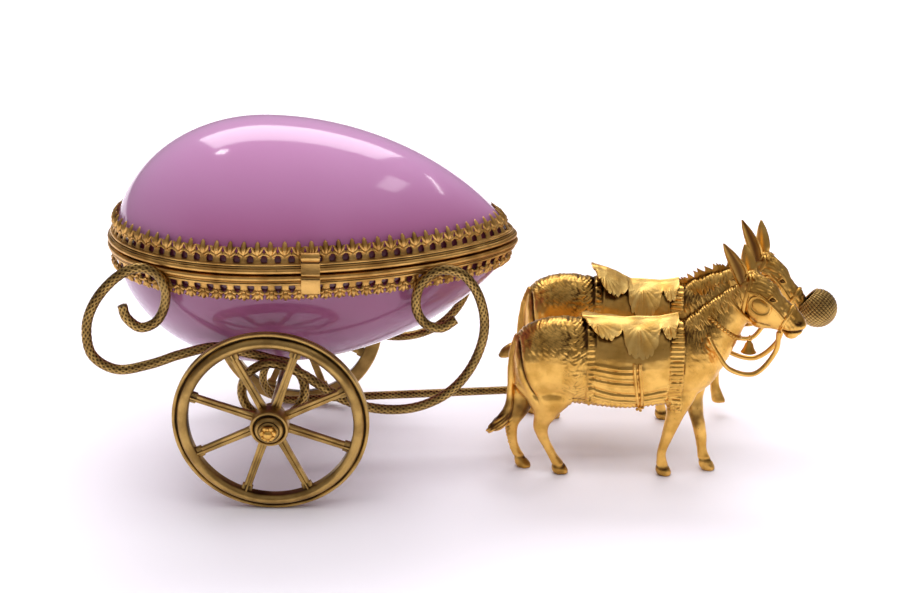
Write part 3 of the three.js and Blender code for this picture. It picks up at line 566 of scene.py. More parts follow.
hinge = {"length": 18, "leafHeight": 8, "leafThickness": 1.2, "knuckle": 2.1, "pin": 0.8, "gap": 0.35,
         "corner": 1.4}
clasp = {"width": 6.5, "offset": 18.3, "thickness": 1.2, "drop": 6.5, "rise": 6.5, "knuckle": 1.6}


def barAlongX(x0, x1, radius, sides=28, bore=0.0):
    ease = 0.18
    profile = [(bore, x0), (radius - ease, x0), (radius, x0 + ease), (radius, x1 - ease), (radius - ease, x1),
               (bore, x1)]
    shape = lathe(profile, sides, closed=bore > 0)
    return moved(shape, lambda p: p[:, [2, 0, 1]])


def hingeLeaf(side):
    inside = egg["radius"] + rim["reach"] + egg["touchGap"]
    half, third, gap = hinge["length"] / 2, hinge["length"] / 3, hinge["gap"]
    low, high = egg["seamGap"] / 2, hinge["leafHeight"]
    clear = hinge["knuckle"] + gap
    parts = []
    spans = [(-half, -third / 2 - gap / 2), (-third / 2 + gap / 2, third / 2 - gap / 2),
             (third / 2 + gap / 2, half)]
    upright = lambda p: p[:, [0, 2, 1]] * (1, 1, side)    # from the flat outline to the leaf's own plane
    for k, (x0, x1) in enumerate(spans):
        owns = (k == 1) == (side > 0)
        foot = low if owns else clear
        outline = [(x0, foot), (x1, foot), (x1, clear + 0.4), (x0, clear + 0.4)]
        if owns:
            parts.append(barAlongX(x0, x1, hinge["knuckle"], bore=hinge["pin"] + gap / 2))
            parts[-1]["points"] += (0, hinge["knuckle"], 0)
            parts.append(moved(slab(outline, 0, hinge["leafThickness"], 0.12), upright))
    cut = hinge["corner"]
    plate = [(-half, clear), (half, clear), (half, high - cut), (half - cut, high), (-half + cut, high),
             (-half, high - cut)]
    parts.append(moved(slab(plate, 0, hinge["leafThickness"], 0.2), upright))
    for x in (-half * 0.6, half * 0.6):
        rivet = lathe([(0, 0), (0.75, 0), (0.7, 0.3), (0.4, 0.5), (0, 0.55)], 16)
        place = (x, hinge["leafThickness"], side * (clear + high) / 2)
        parts.append(moved(rivet, lambda p, place=place: p[:, [0, 2, 1]] + place))
    parts = [outward(part) for part in parts]
    return moved(joined(parts), lambda p: inEggFrame(p + (0, inside, 0)))


def hingePin():
    half = hinge["length"] / 2
    out = egg["radius"] + rim["reach"] + egg["touchGap"] + hinge["knuckle"]
    heads = [ball((x, 0, 0), hinge["pin"] + 0.25, 14) for x in (-half - 0.1, half + 0.1)]
    pin = joined([barAlongX(-half, half, hinge["pin"], 18)] + heads)
    return moved(pin, lambda p: inEggFrame(p + (0, out, 0)))


claspOut = float(eggHalfWidth(np.array(clasp["offset"]))) + rim["reach"] + egg["touchGap"] + 0.6


def acrossClasp(section, recess=0.0, start=-clasp["width"] / 2, end=clasp["width"] / 2, ease=0.22):
    # The section is (out, height), and it runs from start to end along the seam
    shape = moved(slab(section, 0, abs(end - start), ease),
                  lambda p: np.stack([start + math.copysign(1, end - start) * p[:, 2], -p[:, 0], p[:, 1]],
                                     axis=1))
    shape = outward(shape)
    shape["recess"][:] = recess
    return moved(shape, lambda p: inEggFrame(p + (clasp["offset"], -claspOut, 0)))


def claspCatch():
    top, thick, knob = clasp["rise"], clasp["thickness"], clasp["knuckle"]
    low = egg["seamGap"] / 2
    tab = [(0, low), (thick * 0.9, low), (thick * 0.95, low + 0.5), (thick * 0.75, low + 0.9),
           (thick * 0.7, top - 1.4), (0, top - 1.0)]
    turn = np.linspace(0, 2 * math.pi, 26, endpoint=False)
    roll = [(knob * 0.8 + knob * math.cos(a), top + knob * 0.4 + knob * math.sin(a)) for a in turn]
    # A dark strip on the tab just under the roll: painted shade
    groove = [(0.4, top - 1.9), (thick * 0.8, top - 1.8), (thick * 0.8, top - 1.0), (0.4, top - 0.9)]
    pivot = [(0.2 * math.cos(a) + knob * 0.8, top + knob * 0.4 + 0.2 * math.sin(a)) for a in turn]
    half, pinEnd = clasp["width"] / 2, clasp["width"] / 2 + 0.25
    ends = [acrossClasp(pivot, 0, side * half, side * pinEnd, 0.05) for side in (-1, 1)]
    return joined([acrossClasp(tab, 0.4), acrossClasp(roll), acrossClasp(groove, 0.95)] + ends)


def claspPlate():
    thick, drop = clasp["thickness"], clasp["drop"]
    low = -egg["seamGap"] / 2
    plate = [(0, low), (thick * 0.75, low), (thick * 0.9, low - 0.3), (thick, low - 1.1),
             (thick, -drop + 0.5),
             (thick * 0.7, -drop), (0, -drop)]
    shadow = [(0.5, -1.0), (thick * 0.98, -1.0), (thick * 0.98, -0.7), (0.5, -0.7)]
    return joined([acrossClasp(plate), acrossClasp(shadow, 0.9)])


makePiece("lid_hinge_half", hingeLeaf(1), rimGilt, "lid", "hinge_lid_leaf")
makePiece("base_hinge_half", hingeLeaf(-1), rimGilt, "root", "hinge_base_leaf")
makePiece("hinge_pin_rod", hingePin(), rimGilt, "root", "hinge_pin")
makePiece("clasp_thumb_catch", claspCatch(), rimGilt, "lid", "clasp_lid_catch")
makePiece("clasp_keeper_plate", claspPlate(), rimGilt, "root", "clasp_base_plate")
print("hinge and clasp made")


# Wheels and axle

wheel = {
    "rimWidth": 4, "rimDepth": 5.6, "track": 99.2, "hubInside": 6, "hubOutside": 7.5, "hubRadius": 6.7,
    "spokes": 8, "firstSpoke": math.radians(25), "spokeWidth": 3.2, "spokeThickness": 2.2,
    "skew": math.radians(3.1), "axle": 1.8, "runningGap": 0.35, "nut": 3.0, "nutHeight": 2.5,
}
wheelMiddle = (wheel["track"] - wheel["rimWidth"]) / 2 + wheelRadius * math.sin(camber)
axlePlace = wheelMiddle * math.sin(wheel["skew"])
droopPlace = wheelMiddle - wheel["hubInside"] - 1
axleHeight = hubHeight + math.tan(camber) * (wheelMiddle - droopPlace)


def askew(points):
    return turned(points, "Z", -wheel["skew"]) + (axlePlace, 0, 0)


def atWheel(side):
    return lambda p: askew(turned(p, "X", -side * (math.pi / 2 + camber)) + (0, side * wheelMiddle,
                                                                             hubHeight))


def tyre():
    inner, outer, half = wheelRadius - wheel["rimDepth"], wheelRadius, wheel["rimWidth"] / 2
    profile = [(inner, -half + 0.3), (inner + 0.3, -half), (outer - 0.4, -half), (outer, -half + 0.35),
               (outer, -0.85), (outer - 0.35, -0.65), (outer - 0.35, -0.3), (outer, -0.1), (outer, 0.5),
               (outer - 0.25, 0.75), (outer - 0.75, 0.8), (outer - 1.1, 0.62), (outer - 1.35,
                                                                                0.2), (outer - 1.6, 0.2),
               (outer - 1.8, 0.75), (outer - 2.1, 1.35), (outer - 2.6, 1.95), (outer - 3.2,
                                                                               2.3), (outer - 3.8, 2.4),
               (outer - 4.5, 2.15), (outer - 5.1, 1.6), (inner + 0.1, 1.2), (inner, 0.9)]
    # Darker in the grooves and on the inner faces: painted shade
    tones = [0.6, 0.4, 0.3, 0.1, 0.3, 0.9, 0.9, 0.3, 0.1, 0, 0.1, 0.5, 1, 1, 0.6, 0.25, 0.05, 0, 0, 0.1, 0.35,
             0.6, 0.7]
    return lathe(profile, 176, closed=True, recess=tones)


def hub():
    bore = wheel["axle"] + wheel["runningGap"]
    profile = [(bore, -6), (4.6, -6), (4.9, -5.7), (5.0, -4.6), (4.7, -4.3), (4.7, -3.9), (5.2, -3.5),
               (5.4, -2.2),
               (6.3, -1.5), (6.7, -0.6), (6.8, 2.6), (6.95, 4.0), (6.9, 4.8), (6.55, 5.35), (6.0, 5.5), (5.7,
                                                                                                         5.3),
               (5.45, 5.0), (5.2, 5.1), (5.05, 5.6), (4.95, 6.1), (4.6, 6.6), (4.1, 6.85), (3.75, 6.75), (3.6,
                                                                                                          6.9),
               (3.5, 7.2), (3.2, 7.5), (bore, 7.5)]
    # Darker in the hub's grooves and in the bore: painted shade
    tones = [1, 0.4, 0.2, 0.4, 0.9, 0.9, 0.4, 0.4, 0.5, 0.4, 0.35, 0.15, 0, 0, 0.15, 0.6, 1, 0.9, 0.5, 0.1, 0,
             0.2,
             0.8, 0.6, 0.2, 0.3, 1]
    return lathe(profile, 72, closed=True, recess=tones)


def spoke():
    w, t = wheel["spokeWidth"] / 2, wheel["spokeThickness"] / 2
    reach = wheelRadius - wheel["rimDepth"]
    section = np.array([[-1, -0.9], [-0.8, -1], [0.8, -1], [1, -0.9], [1, 0.15], [0.85, 0.35], [0.22, 0.5],
                        [0.12, 1],
                        [-0.12, 1], [-0.22, 0.5], [-0.85, 0.35], [-1, 0.15]])
    # Darker in the creases beside the ridge and underneath: painted shade
    tones = np.array([0.5, 0.3, 0.3, 0.5, 0.3, 0.15, 0.6, 0, 0, 0.6, 0.15, 0.3])
    stops = [(wheel["hubRadius"] - 1.4, 1.1), (wheel["hubRadius"] + 1.5, 1.0), (13, 0.92), (20, 0.86),
             (reach - 2.2, 0.86), (reach - 2.0, 1.2), (reach - 0.2, 1.25), (reach + 1.0, 1.25)]
    grid = np.array([[(x, y * w * grow, z * t * (1.12 if grow > 1.15 else 1)) for y, z in section] for x,
                     grow in stops])
    tone = np.repeat(tones[None], len(stops), axis=0)
    # Darker where the spoke meets the rim: painted shade
    tone[-3:] += 0.25
    return outward(skin(grid, tone))


def roadWheel(side):
    parts = [tyre(), hub()]
    for k in range(wheel["spokes"]):
        angle = wheel["firstSpoke"] + 2 * math.pi * k / wheel["spokes"]
        parts.append(moved(spoke(), lambda p, angle=angle: turned(p, "Z", angle)))
    whole = joined(parts)
    whole["recess"] = np.clip(whole["recess"] + 0.25 * lumps(whole["points"], 6), 0, 1)
    return moved(whole, atWheel(side))


def hubNut(side):
    r, h = wheel["nut"], wheel["nutHeight"]
    petals = lambda height, angle: 1 - 0.13 * np.abs(np.sin(3 * angle)) * smoothStep(h, h * 0.2, height)
    collar = lathe([(0, 0), (r, 0), (r, h * 0.25), (r * 0.94, h * 0.42), (r * 0.7, h * 0.5), (0, h * 0.5)],
                   72, petals)
    dome = lathe([(0, h * 0.3), (r * 0.6, h * 0.3), (r * 0.58, h * 0.6), (r * 0.42, h * 0.88), (r * 0.2, h),
                  (0, h)], 36)
    bosses = []
    for k in range(6):
        angle = math.pi / 6 + k * math.pi / 3
        bosses.append(ball((r * 0.72 * math.cos(angle), r * 0.72 * math.sin(angle), h * 0.5), r * 0.2, 10))
    whole = joined([collar, dome] + bosses)
    foot = wheel["hubOutside"] + egg["touchGap"]
    return moved(whole, lambda p: atWheel(side)(p + (0, 0, foot)))


def axleRod():
    endOut = wheelMiddle + wheel["hubOutside"] * math.cos(camber)
    endHeight = hubHeight - wheel["hubOutside"] * math.sin(camber)
    places = np.array([-endOut, -droopPlace, -droopPlace + 1.5, droopPlace - 1.5, droopPlace, endOut])
    heights = np.array([endHeight, axleHeight, axleHeight, axleHeight, axleHeight, endHeight])
    y = np.concatenate([np.linspace(a, b, 14) for a, b in zip(places[:-1], places[1:])])
    path = np.stack([np.zeros_like(y), y, np.interp(y, places, heights)], axis=1)
    path = path[np.concatenate([[True], np.diff(y) > 1e-6])]
    rings = lambda run, angle: -0.12 * (np.cos(run * 2.1) > 0.86) * np.ones_like(angle)
    return moved(tube(path, wheel["axle"], 30, rings), askew)


for word, side in (("near", -1), ("far", 1)):
    makePiece(f"{word}_spoked_wheel", roadWheel(side), antiqueGilt, f"wheel_{word}", f"{word}_wheel",
              34)
    makePiece(f"{word}_flower_nut", hubNut(side), brightGilt, "root", f"{word}_hub_nut", 50)
makePiece("axle_rod", axleRod(), antiqueGilt, "root", "axle")
print("wheels and axle made")


# Side frames: one knurled rod each, scrolled at both ends and wound once round the axle

rods = {
    "radius": 1.8, "coil": 11.2, "coilInside": 37.7, "coilPitch": 4.0, "scrollGap": 1.8, "knurlRows": 7,
    "knurlPitch": 2.3, "knurlDepth": 0.17, "step": 0.45, "sides": 32,
    "pole": 1.6, "poleLift": 20.7, "poleRise": 0.0286, "poleEnd": 137, "crossbar": 1.3, "crossbarPlace": 133,
}
rearScroll = [(-50.7, 76.7), (-49.6, 72.2), (-45.1, 68.2), (-39.8, 69.8), (-36.4, 75.3), (-35.7, 82.4),
              (-38.4, 88), (-44, 90.2), (-50.6, 88), (-59.3, 79.3), (-63.4, 69.4), (-62.2, 58.5), (-54.4,
                                                                                                   52.8),
              (-42.5, 54.1), (-31.9, 57.3), (-19, 59.6), (-9, 57)]
frontScroll = [(11, 49.4), (17.7, 44.3), (25.6, 38.6), (35.2, 34.8), (46.1, 33.4), (55.2, 34.8), (64.4, 39.5),
               (71.7, 47.8), (76.3, 59.2), (76.6, 68.8), (73.2, 79), (67.4, 85.2), (59.6, 86), (53.6, 80.8),
               (52.2, 72.6), (55.4, 66.4), (61.2, 64.4), (66.5, 67.4)]
rearTouch, frontTouch = -40, 60    # where a scroll bears on the lower rim


def axleAt(y):
    return axlePlace + y * math.tan(wheel["skew"])


def frameReach(x):
    glass = float(eggHalfWidth(np.array(x - egg["centre"][0])))
    return glass + rim["reach"] + rods["scrollGap"] + rods["radius"]


def framePath(side):
    inside, pitch, coil = rods["coilInside"], rods["coilPitch"], rods["coil"]
    rearSlope = (frameReach(rearTouch) - inside) / -rearTouch
    frontSlope = (inside + pitch - frameReach(frontTouch)) / frontTouch
    place = axleAt(side * (inside + pitch / 2))
    centre = axleHeight - wheel["axle"] - egg["touchGap"] - rods["radius"] + coil
    points = [(x, inside - rearSlope * x, z) for x, z in rearScroll]
    for k in range(13):
        turn = math.pi / 2 - 2 * math.pi * k / 12
        points.append((place + coil * math.cos(turn), inside + pitch * k / 12,
                       centre + coil * math.sin(turn)))
    points += [(x, inside + pitch - frontSlope * x, z) for x, z in frontScroll]
    return np.array(points) * (1, side, 1)


def knurl(run, angle):
    rows, pitch = rods["knurlRows"], rods["knurlPitch"]
    one = np.cos(rows * angle + 2 * math.pi * run / pitch)
    other = np.cos(rows * angle - 2 * math.pi * run / pitch)
    worn = 0.75 + 0.25 * np.sin(run / 9 + 2 * np.sin(run / 23))
    return rods["knurlDepth"] * worn * (np.maximum(one, other) - 0.35)


def frameRod(side):
    curve = curveThrough(framePath(side), 24)
    path = evenly(curve, int(runLength(curve)[-1] / rods["step"]))
    return tube(path, rods["radius"] - 0.1, rods["sides"], knurl, shade=0.7)


def poleHeight(x):
    return rods["poleLift"] + rods["poleRise"] * x


donkeyPlaces = {"near": (130, -23), "far": (139, 29)}
donkeyTurns = {"near": -0.08, "far": -0.06}
polePlace = (donkeyPlaces["near"][1] + donkeyPlaces["far"][1]) / 2


def poleRod():
    top = axleHeight + wheel["axle"] + 2 * egg["touchGap"] + rods["pole"]
    hook = (top - rods["poleLift"]) / 2
    over = axleAt(polePlace)
    points = [(over + hook * 0.45, polePlace, top - hook * 0.1)]
    for k in range(5):
        turn = math.pi / 2 + math.pi * k / 4
        points.append((over + hook * math.cos(turn), polePlace, top - hook + hook * math.sin(turn)))
    points += [(x, polePlace, poleHeight(x)) for x in (12, 50, 90, rods["poleEnd"])]
    curve = curveThrough(points, 24)
    path = evenly(curve, int(runLength(curve)[-1] / rods["step"]))
    ease = np.minimum(1,
                      np.sqrt(np.minimum(runLength(path),
                                         runLength(path)[-1] - runLength(path)) / 0.9 + 0.15))
    return tube(path, (rods["pole"] - 0.1) * ease, rods["sides"], knurl, shade=0.75)


for word, side in (("near", -1), ("far", 1)):
    makePiece(f"{word}_scroll_rod", frameRod(side), antiqueGilt, "root", f"{word}_side_frame",
              60)
makePiece("pole_rod", poleRod(), antiqueGilt, "root", "draught_pole", 60)
print("rods made")


# Donkeys. One faces +X with its feet on z = 0; places are its own millimetres.
# Trunk rings are place, top, bottom, half width

trunkRings = [(-41, 50.5, 41, 3.4), (-39.2, 55.8, 33, 7.6), (-35, 59.6, 29.5, 10.4), (-26, 62.2, 29.5, 11.4),
              (-14, 61.8, 28.6, 11.8), (0, 60.2, 27.3, 12.4), (12, 60.6, 28.8, 11.8), (22, 62.6, 30.6, 10.8),
              (29, 60.4, 34, 9.2), (33.6, 55.2, 38.4, 6.6), (35.8, 50.6, 43, 3.2)]
# Neck and head rings are top place and height, bottom place and height, half width
neckRings = [(16, 58.5, 35, 40, 8.6), (24.5, 62.2, 39.6, 49.4, 7.2), (30.5, 67.2, 43, 57.6, 5.9),
             (36, 71.8, 45, 62.8, 5), (41.4, 75.8, 46, 68, 4.3)]
headRings = [(42, 78.8, 41, 69, 3.8), (47.4, 81, 44.2, 62.6, 5.2), (53.3, 78, 49, 60.4, 5.2),
             (57.9, 73, 53.6, 60.8, 4.2), (62.6, 69.6, 58.2, 60, 3.4), (65.6, 66, 61.6, 58.8, 3.5),
             (66.5, 63.6, 64.6, 60, 2.2)]
# Ear rings are place, height, aside, half width, half depth; tail rings are place, height, radius
earRings = [(43.2, 77, 3, 2, 1.7), (41.8, 83.6, 4.2, 2.7, 1.6), (39.4, 89.4, 5.6, 1.8, 1),
            (37.5, 93, 6.6, 0.35, 0.3)]
tailRings = [(-39, 55, 1.9), (-41.2, 49, 1.6), (-41.9, 41, 1.4), (-42.2, 33, 1.3), (-42.6, 26.5, 1.6),
             (-45, 20.6, 2.5), (-48.4, 17.4, 2), (-51, 15.6, 0.7)]
# Leg rings are height, back, front, half width
legs = {
    "hindNear": [(38, -41, -15, 5.6), (31, -36, -18.6, 5), (25, -33.2, -24, 3.7), (19, -33.2, -27.6, 2.6),
                 (9, -28.2, -24.4, 1.9), (4.4, -26, -21.2, 2.2), (0, -26, -18.6, 3)],
    "hindOff": [(38, -42.4, -26, 5.6), (30, -43.4, -31, 5), (23, -43.4, -34.6, 3.6), (16.5, -44, -38.8, 2.5),
                (8, -42, -38.2, 1.9), (4, -40.2, -35.8, 2.2), (0, -39.8, -32.6, 2.9)],
    "foreNear": [(40, 13, 29, 5), (32, 16, 26.4, 4.2), (25, 16.4, 23, 3), (16, 15, 19.6, 2.4),
                 (9, 13.8, 17.4, 1.9), (4.4, 13.7, 18.4, 2.2), (0, 13.6, 20.6, 2.9)],
    "foreOff": [(40, 18, 35, 5), (31, 23, 31.4, 4), (24, 25.4, 31.6, 3), (15, 28.4, 33.2, 2.4),
                (8, 29.8, 33.8, 1.9), (4, 30.4, 35.6, 2.2), (0, 31.4, 38, 2.8)],
    "foreLifted": [(40, 18, 35, 5), (32, 24, 33, 4), (26, 29, 36, 3), (20.5, 34.6, 40, 2.5),
                   (13.4, 37, 40.8, 1.9), (10, 37.2, 42, 2.3), (5.4, 38, 43.8, 2.8)],
}
# Muscles are reach each way, place on the far side, and sides: haunch, shoulder, cheek and nostril
muscles = [((9, 4.6, 12), (-31, 6.8, 45), 20), ((7, 3.6, 11), (24, 6.6, 47), 20),
           ((4.2, 1.8, 4.6), (48.2, 3.9, 68), 16),
           ((1.9, 1, 1.4), (63.4, 2.9, 64.6), 12)]
chin = ((2.6, 2.7, 1.5), (61.2, 0, 59.4), 14)
hipOut, hoofOut, earSplay, headTurn = 5.4, 2.6, 1.8, -0.35
poll, shoulder, hip = np.array([41.0, 0, 74]), np.array([25.0, 0, 44]), np.array([-30.0, 0, 45])
poses = {
    "near": {"dip": 0, "neckDrop": 0, "neckStretch": 1, "headPitch": 0, "headShift": (0, 0),
             "earTips": ((0, 0), (1.7, -3.4)), "foreOff": "foreOff", "hindShift": 0, "tailLift": 0,
             "saddleRear": -0.6, "saddleFlare": 2.2},
    "far": {"dip": 0.085, "neckDrop": 0.28, "neckStretch": 1.1, "headPitch": 0.15, "headShift": (-2.8, 1.2),
            "earTips": ((-2, 1.5), (0.3, -0.7)), "foreOff": "foreLifted", "hindShift": -6, "tailLift": 10,
            "saddleRear": 3.2, "saddleFlare": 0.9},
}
donkeyVoxel = 0.47


def ringGrid(centre, half, across, sides=30, square=1.0):
    angle = np.linspace(0, 2 * math.pi, sides, endpoint=False)
    up = np.sign(np.cos(angle)) * np.abs(np.cos(angle))**square
    out = np.sign(np.sin(angle)) * np.abs(np.sin(angle))**square
    grid = centre[:, None] + half[:, None] * up[None, :, None]
    grid = grid + np.array([0, 1, 0]) * (across[:, None] * out)[..., None]
    return grid


def betweenRings(rings, perSpan=6, square=1.0, grow=0.0):
    rows = curveThrough(rings, perSpan)
    top, low = rows[:, [0, 1]], rows[:, [2, 3]]
    centre = np.stack([(top + low)[:, 0] / 2, np.zeros(len(rows)), (top + low)[:, 1] / 2], axis=1)
    half = np.stack([(top - low)[:, 0] / 2, np.zeros(len(rows)), (top - low)[:, 1] / 2], axis=1)
    size = np.linalg.norm(half, axis=1)[:, None]
    return ringGrid(centre, half * (1 + grow / size), rows[:, 4] + grow, square=square)


def legForm(name, side, shift=0.0):
    rows = curveThrough(legs[name], 6)
    height, back, front, half = rows.T
    share = 1 - height / rows[0, 0]
    out = side * (hipOut + (hoofOut - hipOut) * share)
    toe = 0.74 + 0.26 * smoothStep(-0.4, 1.8, height)    # the hoof is rounded off at its sole
    centre = np.stack([(back + front) / 2 + shift * share, out, height], axis=1)
    length = np.stack([(front - back) / 2 * toe, np.zeros(len(rows)), np.zeros(len(rows))], axis=1)
    thick = half * toe * (1 - 0.35 * smoothStep(31, 38, height))    # the leg's top sinks into the flank
    return outward(skin(ringGrid(centre, length, thick, square=0.92)))


def roundedForm(rings, radius):    # a string of points with a radius at each
    return tube(np.asarray(rings, float), np.asarray(radius, float), 20)


def bodyForms(pose):
    trunk = [(x, top, x, low, half) for x, top, low, half in trunkRings]
    parts = [outward(skin(betweenRings(trunk, 8, 0.93))), outward(skin(betweenRings(neckRings, 8))),
             outward(skin(betweenRings(headRings, 8, 0.95)))]
    tail = curveThrough(tailRings, 6)
    lift = pose["tailLift"] * smoothStep(34, 15.6, tail[:, 1])
    path = np.stack([tail[:, 0], np.zeros(len(tail)), tail[:, 1] + lift], axis=1)
    parts.append(roundedForm(path, np.maximum(tail[:, 2], 0.5)))
    parts += [legForm("hindNear", -1, pose["hindShift"]), legForm("hindOff", 1), legForm("foreNear", -1),
              legForm(pose["foreOff"], 1)]
    for side, (size, (x, y, z), sides) in product((-1, 1), muscles):
        parts.append(moved(ball((0, 0, 0), 1, sides), lambda p, size=size,
                           to=(x, side * y, z): p * size + to))
    size, place, sides = chin
    parts.append(moved(ball((0, 0, 0), 1, sides), lambda p: p * size + place))
    return joined(parts)


def remeshed(shape, voxel, smoothing):
    mesh = bpy.data.meshes.new("rough")
    mesh.from_pydata(shape["points"].tolist(), [], shape["quads"].tolist() + shape["tris"].tolist())
    rough = bpy.data.objects.new("rough", mesh)
    bpy.context.scene.collection.objects.link(rough)
    remesh = rough.modifiers.new("remesh", "REMESH")
    remesh.mode = "VOXEL"
    remesh.voxel_size = voxel
    ease = rough.modifiers.new("ease", "SMOOTH")
    ease.factor = 0.5
    ease.iterations = smoothing
    result = rough.evaluated_get(bpy.context.evaluated_depsgraph_get()).to_mesh()
    points = np.zeros(len(result.vertices) * 3)
    normals = np.zeros(len(result.vertices) * 3)
    result.vertices.foreach_get("co", points)
    result.vertices.foreach_get("normal", normals)
    sizes = np.zeros(len(result.polygons), int)
    corners = np.zeros(len(result.loops), int)
    result.polygons.foreach_get("loop_total", sizes)
    result.loops.foreach_get("vertex_index", corners)
    start = np.cumsum(sizes) - sizes
    quads = corners[start[sizes == 4][:, None] + np.arange(4)]
    tris = corners[start[sizes == 3][:, None] + np.arange(3)]
    bpy.data.objects.remove(rough)
    bpy.data.meshes.remove(mesh)
    return form(points, quads, tris), normals.reshape(-1, 3)


def nearLine(points, line):    # distance in the side view from a line of (x, z) points
    place = points[:, [0, 2]]
    best = np.full(len(points), 1e9)
    for a, b in zip(np.array(line[:-1], float), np.array(line[1:], float)):
        share = np.clip(((place - a) @ (b - a)) / ((b - a) @ (b - a)), 0, 1)
        best = np.minimum(best, np.linalg.norm(place - a - share[:, None] * (b - a), axis=1))
    return best


def flankMask(points):    # the trunk, without the legs, neck and tail
    x, _, z = points.T
    return smoothStep(26.5, 29.5, z) * smoothStep(-39, -36, x) * smoothStep(34, 31, x)


thighGroove = [(-39.3, 54), (-37.5, 44), (-34.5, 37), (-32, 33), (-31, 29)]
foldLines = [[(-13, 39.5), (-4, 37.2), (6, 36.9), (15, 38.6)],
             [(-13, 36.6), (-4, 34.6), (6, 34.3), (15, 35.8)],
             [(-13, 34), (-4, 32.3), (6, 32), (15, 33.2)], [(-12, 43), (-3, 41.6), (4, 41.4)],
             [(-12, 47), (-2, 45.6), (5, 45.8)]]
mouthLine = [(57.4, 61.4), (60, 61), (63, 61.6), (65.4, 62)]


def carveDonkey(points):    # how far each point of the body is raised, and how dark it is kept
    x, y, z = points.T
    flank = flankMask(points)
    lift = np.zeros(len(points))
    # Blanket with a border of short threads at both ends and along the belly
    inBlanket = smoothStep(-14.6, -14.2, x) * smoothStep(21.6, 21.2, x) * smoothStep(29.2, 29.8, z) * flank
    lift += 0.35 * inBlanket
    border = bump(x, -12.8, 1.4) * flank
    lift += 0.55 * border * np.sign(np.sin(z * 2 * math.pi / 1.9)) * 0.6
    comb = smoothStep(16.2, 16.6, x) * smoothStep(21.4, 21.0, x) * flank
    lift += 0.6 * comb * (np.abs(np.sin(z * math.pi / 1.6)) - 0.5)
    for edge in (16.2, 21.5, -14.4, -11.2):
        lift -= 0.45 * bump(x, edge, 0.55) * flank
    tassels = smoothStep(-23.6, -22.0, x) * smoothStep(-14.4, -15.0, x) * flank * smoothStep(31, 33, z)
    zigzag = z - 0.7 * np.abs(x + 18.6 + 1.5 * lumps(points, 5)) + 1.2 * lumps(points, 3)
    lift += 0.6 * tassels * (strokes(zigzag, x, 1.5, 4.0, 1) - 0.4)
    hem = smoothStep(32.6, 31.8, z) * smoothStep(27.4, 28.2, z) * smoothStep(-21, -19, x) * smoothStep(21.5,
                                                                                                       20, x)
    lift += 0.55 * hem * (np.abs(np.sin(x * math.pi / 1.7)) - 0.5)
    lift -= 0.4 * bump(z, 32.7, 0.5) * smoothStep(-21, -19, x) * smoothStep(21.5, 20, x)
    for line in foldLines:
        away = nearLine(points, curveThrough(line, 6))
        lift += flank * (0.38 * np.exp(-((away - 1.0) / 0.75)**2) - 0.42 * np.exp(-(away / 0.45)**2))
    # Hair on rump, shoulder and neck
    warp = 1.6 * lumps(points, 9)
    rump = smoothStep(47, 51, z + 0.12 * (x + 20)) * smoothStep(-13, -16, x) * smoothStep(-42, -39, x)
    lift += 0.42 * rump * (strokes(z + 0.55 * x + 2 * warp, x - 0.4 * z, 1.15, 3.2, 2) - 0.35)
    neckUp = (points - shoulder) @ np.array([0.47, 0, 0.88])
    neckOut = (points - shoulder) @ np.array([0.88, 0, -0.47])
    onNeck = smoothStep(5, 12, neckUp) * smoothStep(36, 32, neckUp) * smoothStep(17, 20, x)
    crest = smoothStep(2.5, -3.5, neckOut)
    hair = strokes(neckUp + 0.9 * neckOut + 1.5 * warp, neckOut - neckUp, 1.2, 5.0, 3) - 0.35
    lift += onNeck * (0.3 + 0.7 * crest) * 0.5 * hair
    chest = smoothStep(21.5, 23.0, x) * smoothStep(36, 40, z) * smoothStep(16, 9, neckUp)
    lift += 0.3 * chest * (strokes(x + 0.6 * z + 1.5 * warp, z, 1.2, 4.0, 4) - 0.35)
    # Muscles and grooves
    thigh = nearLine(points, curveThrough(thighGroove, 6))
    fade = smoothStep(29, 35, z)
    lift -= 0.55 * fade * np.exp(-(thigh / 0.55)**2) * smoothStep(2.5, 4.5, np.abs(y))
    lift += 0.3 * fade * np.exp(-((thigh - 1.7) / 1.0)**2) * smoothStep(2.5, 4.5, np.abs(y))
    onLeg = smoothStep(27, 22, z)
    lift += 0.12 * onLeg * lumps(points * (1, 1, 0.35), 1.8)
    lift -= 0.22 * smoothStep(5.8, 5.2, z + 0.3 * np.abs(y)) * smoothStep(4.0, 4.6, z + 0.3 * np.abs(y))
    # Face
    face = smoothStep(54, 56, x)
    mouth = nearLine(points, mouthLine)
    lift -= 0.75 * np.exp(-(mouth / 0.5)**2) * face
    nostril = np.hypot((x - 64.2) / 1.1, (z - 65) / 0.8)
    lift -= 0.8 * np.exp(-nostril**2) * face * smoothStep(0.8, 1.6, np.abs(y))
    wrinkles = smoothStep(56, 58, x) * smoothStep(65, 62, x) * smoothStep(61.8, 63, z)
    lift += 0.55 * wrinkles * (strokes(x + 0.7 * z, z - x, 1.9, 5, 5) - 0.4)
    brow = smoothStep(43, 45, x) * smoothStep(58, 54, x) * smoothStep(72.5, 75, z)
    lift += 0.6 * brow * (strokes(y * 1.2 + 0.4 * z, x, 1.8, 4.5, 6) - 0.35)
    jaw = nearLine(points, [(44, 66.5), (48.5, 63.8), (53.5, 62.6)])
    lift -= 0.35 * np.exp(-(jaw / 0.5)**2) * smoothStep(2, 3, np.abs(y)) * smoothStep(42, 43.5, x)
    tuft = smoothStep(25, 21, z) * smoothStep(-40.5, -42.5, x)
    lift += 0.65 * tuft * (strokes(z - 0.8 * x, x, 1.6, 6, 7) - 0.4)
    lift += 0.09 * lumps(points, 3.2) + 0.05 * lumps(points, 1.3)
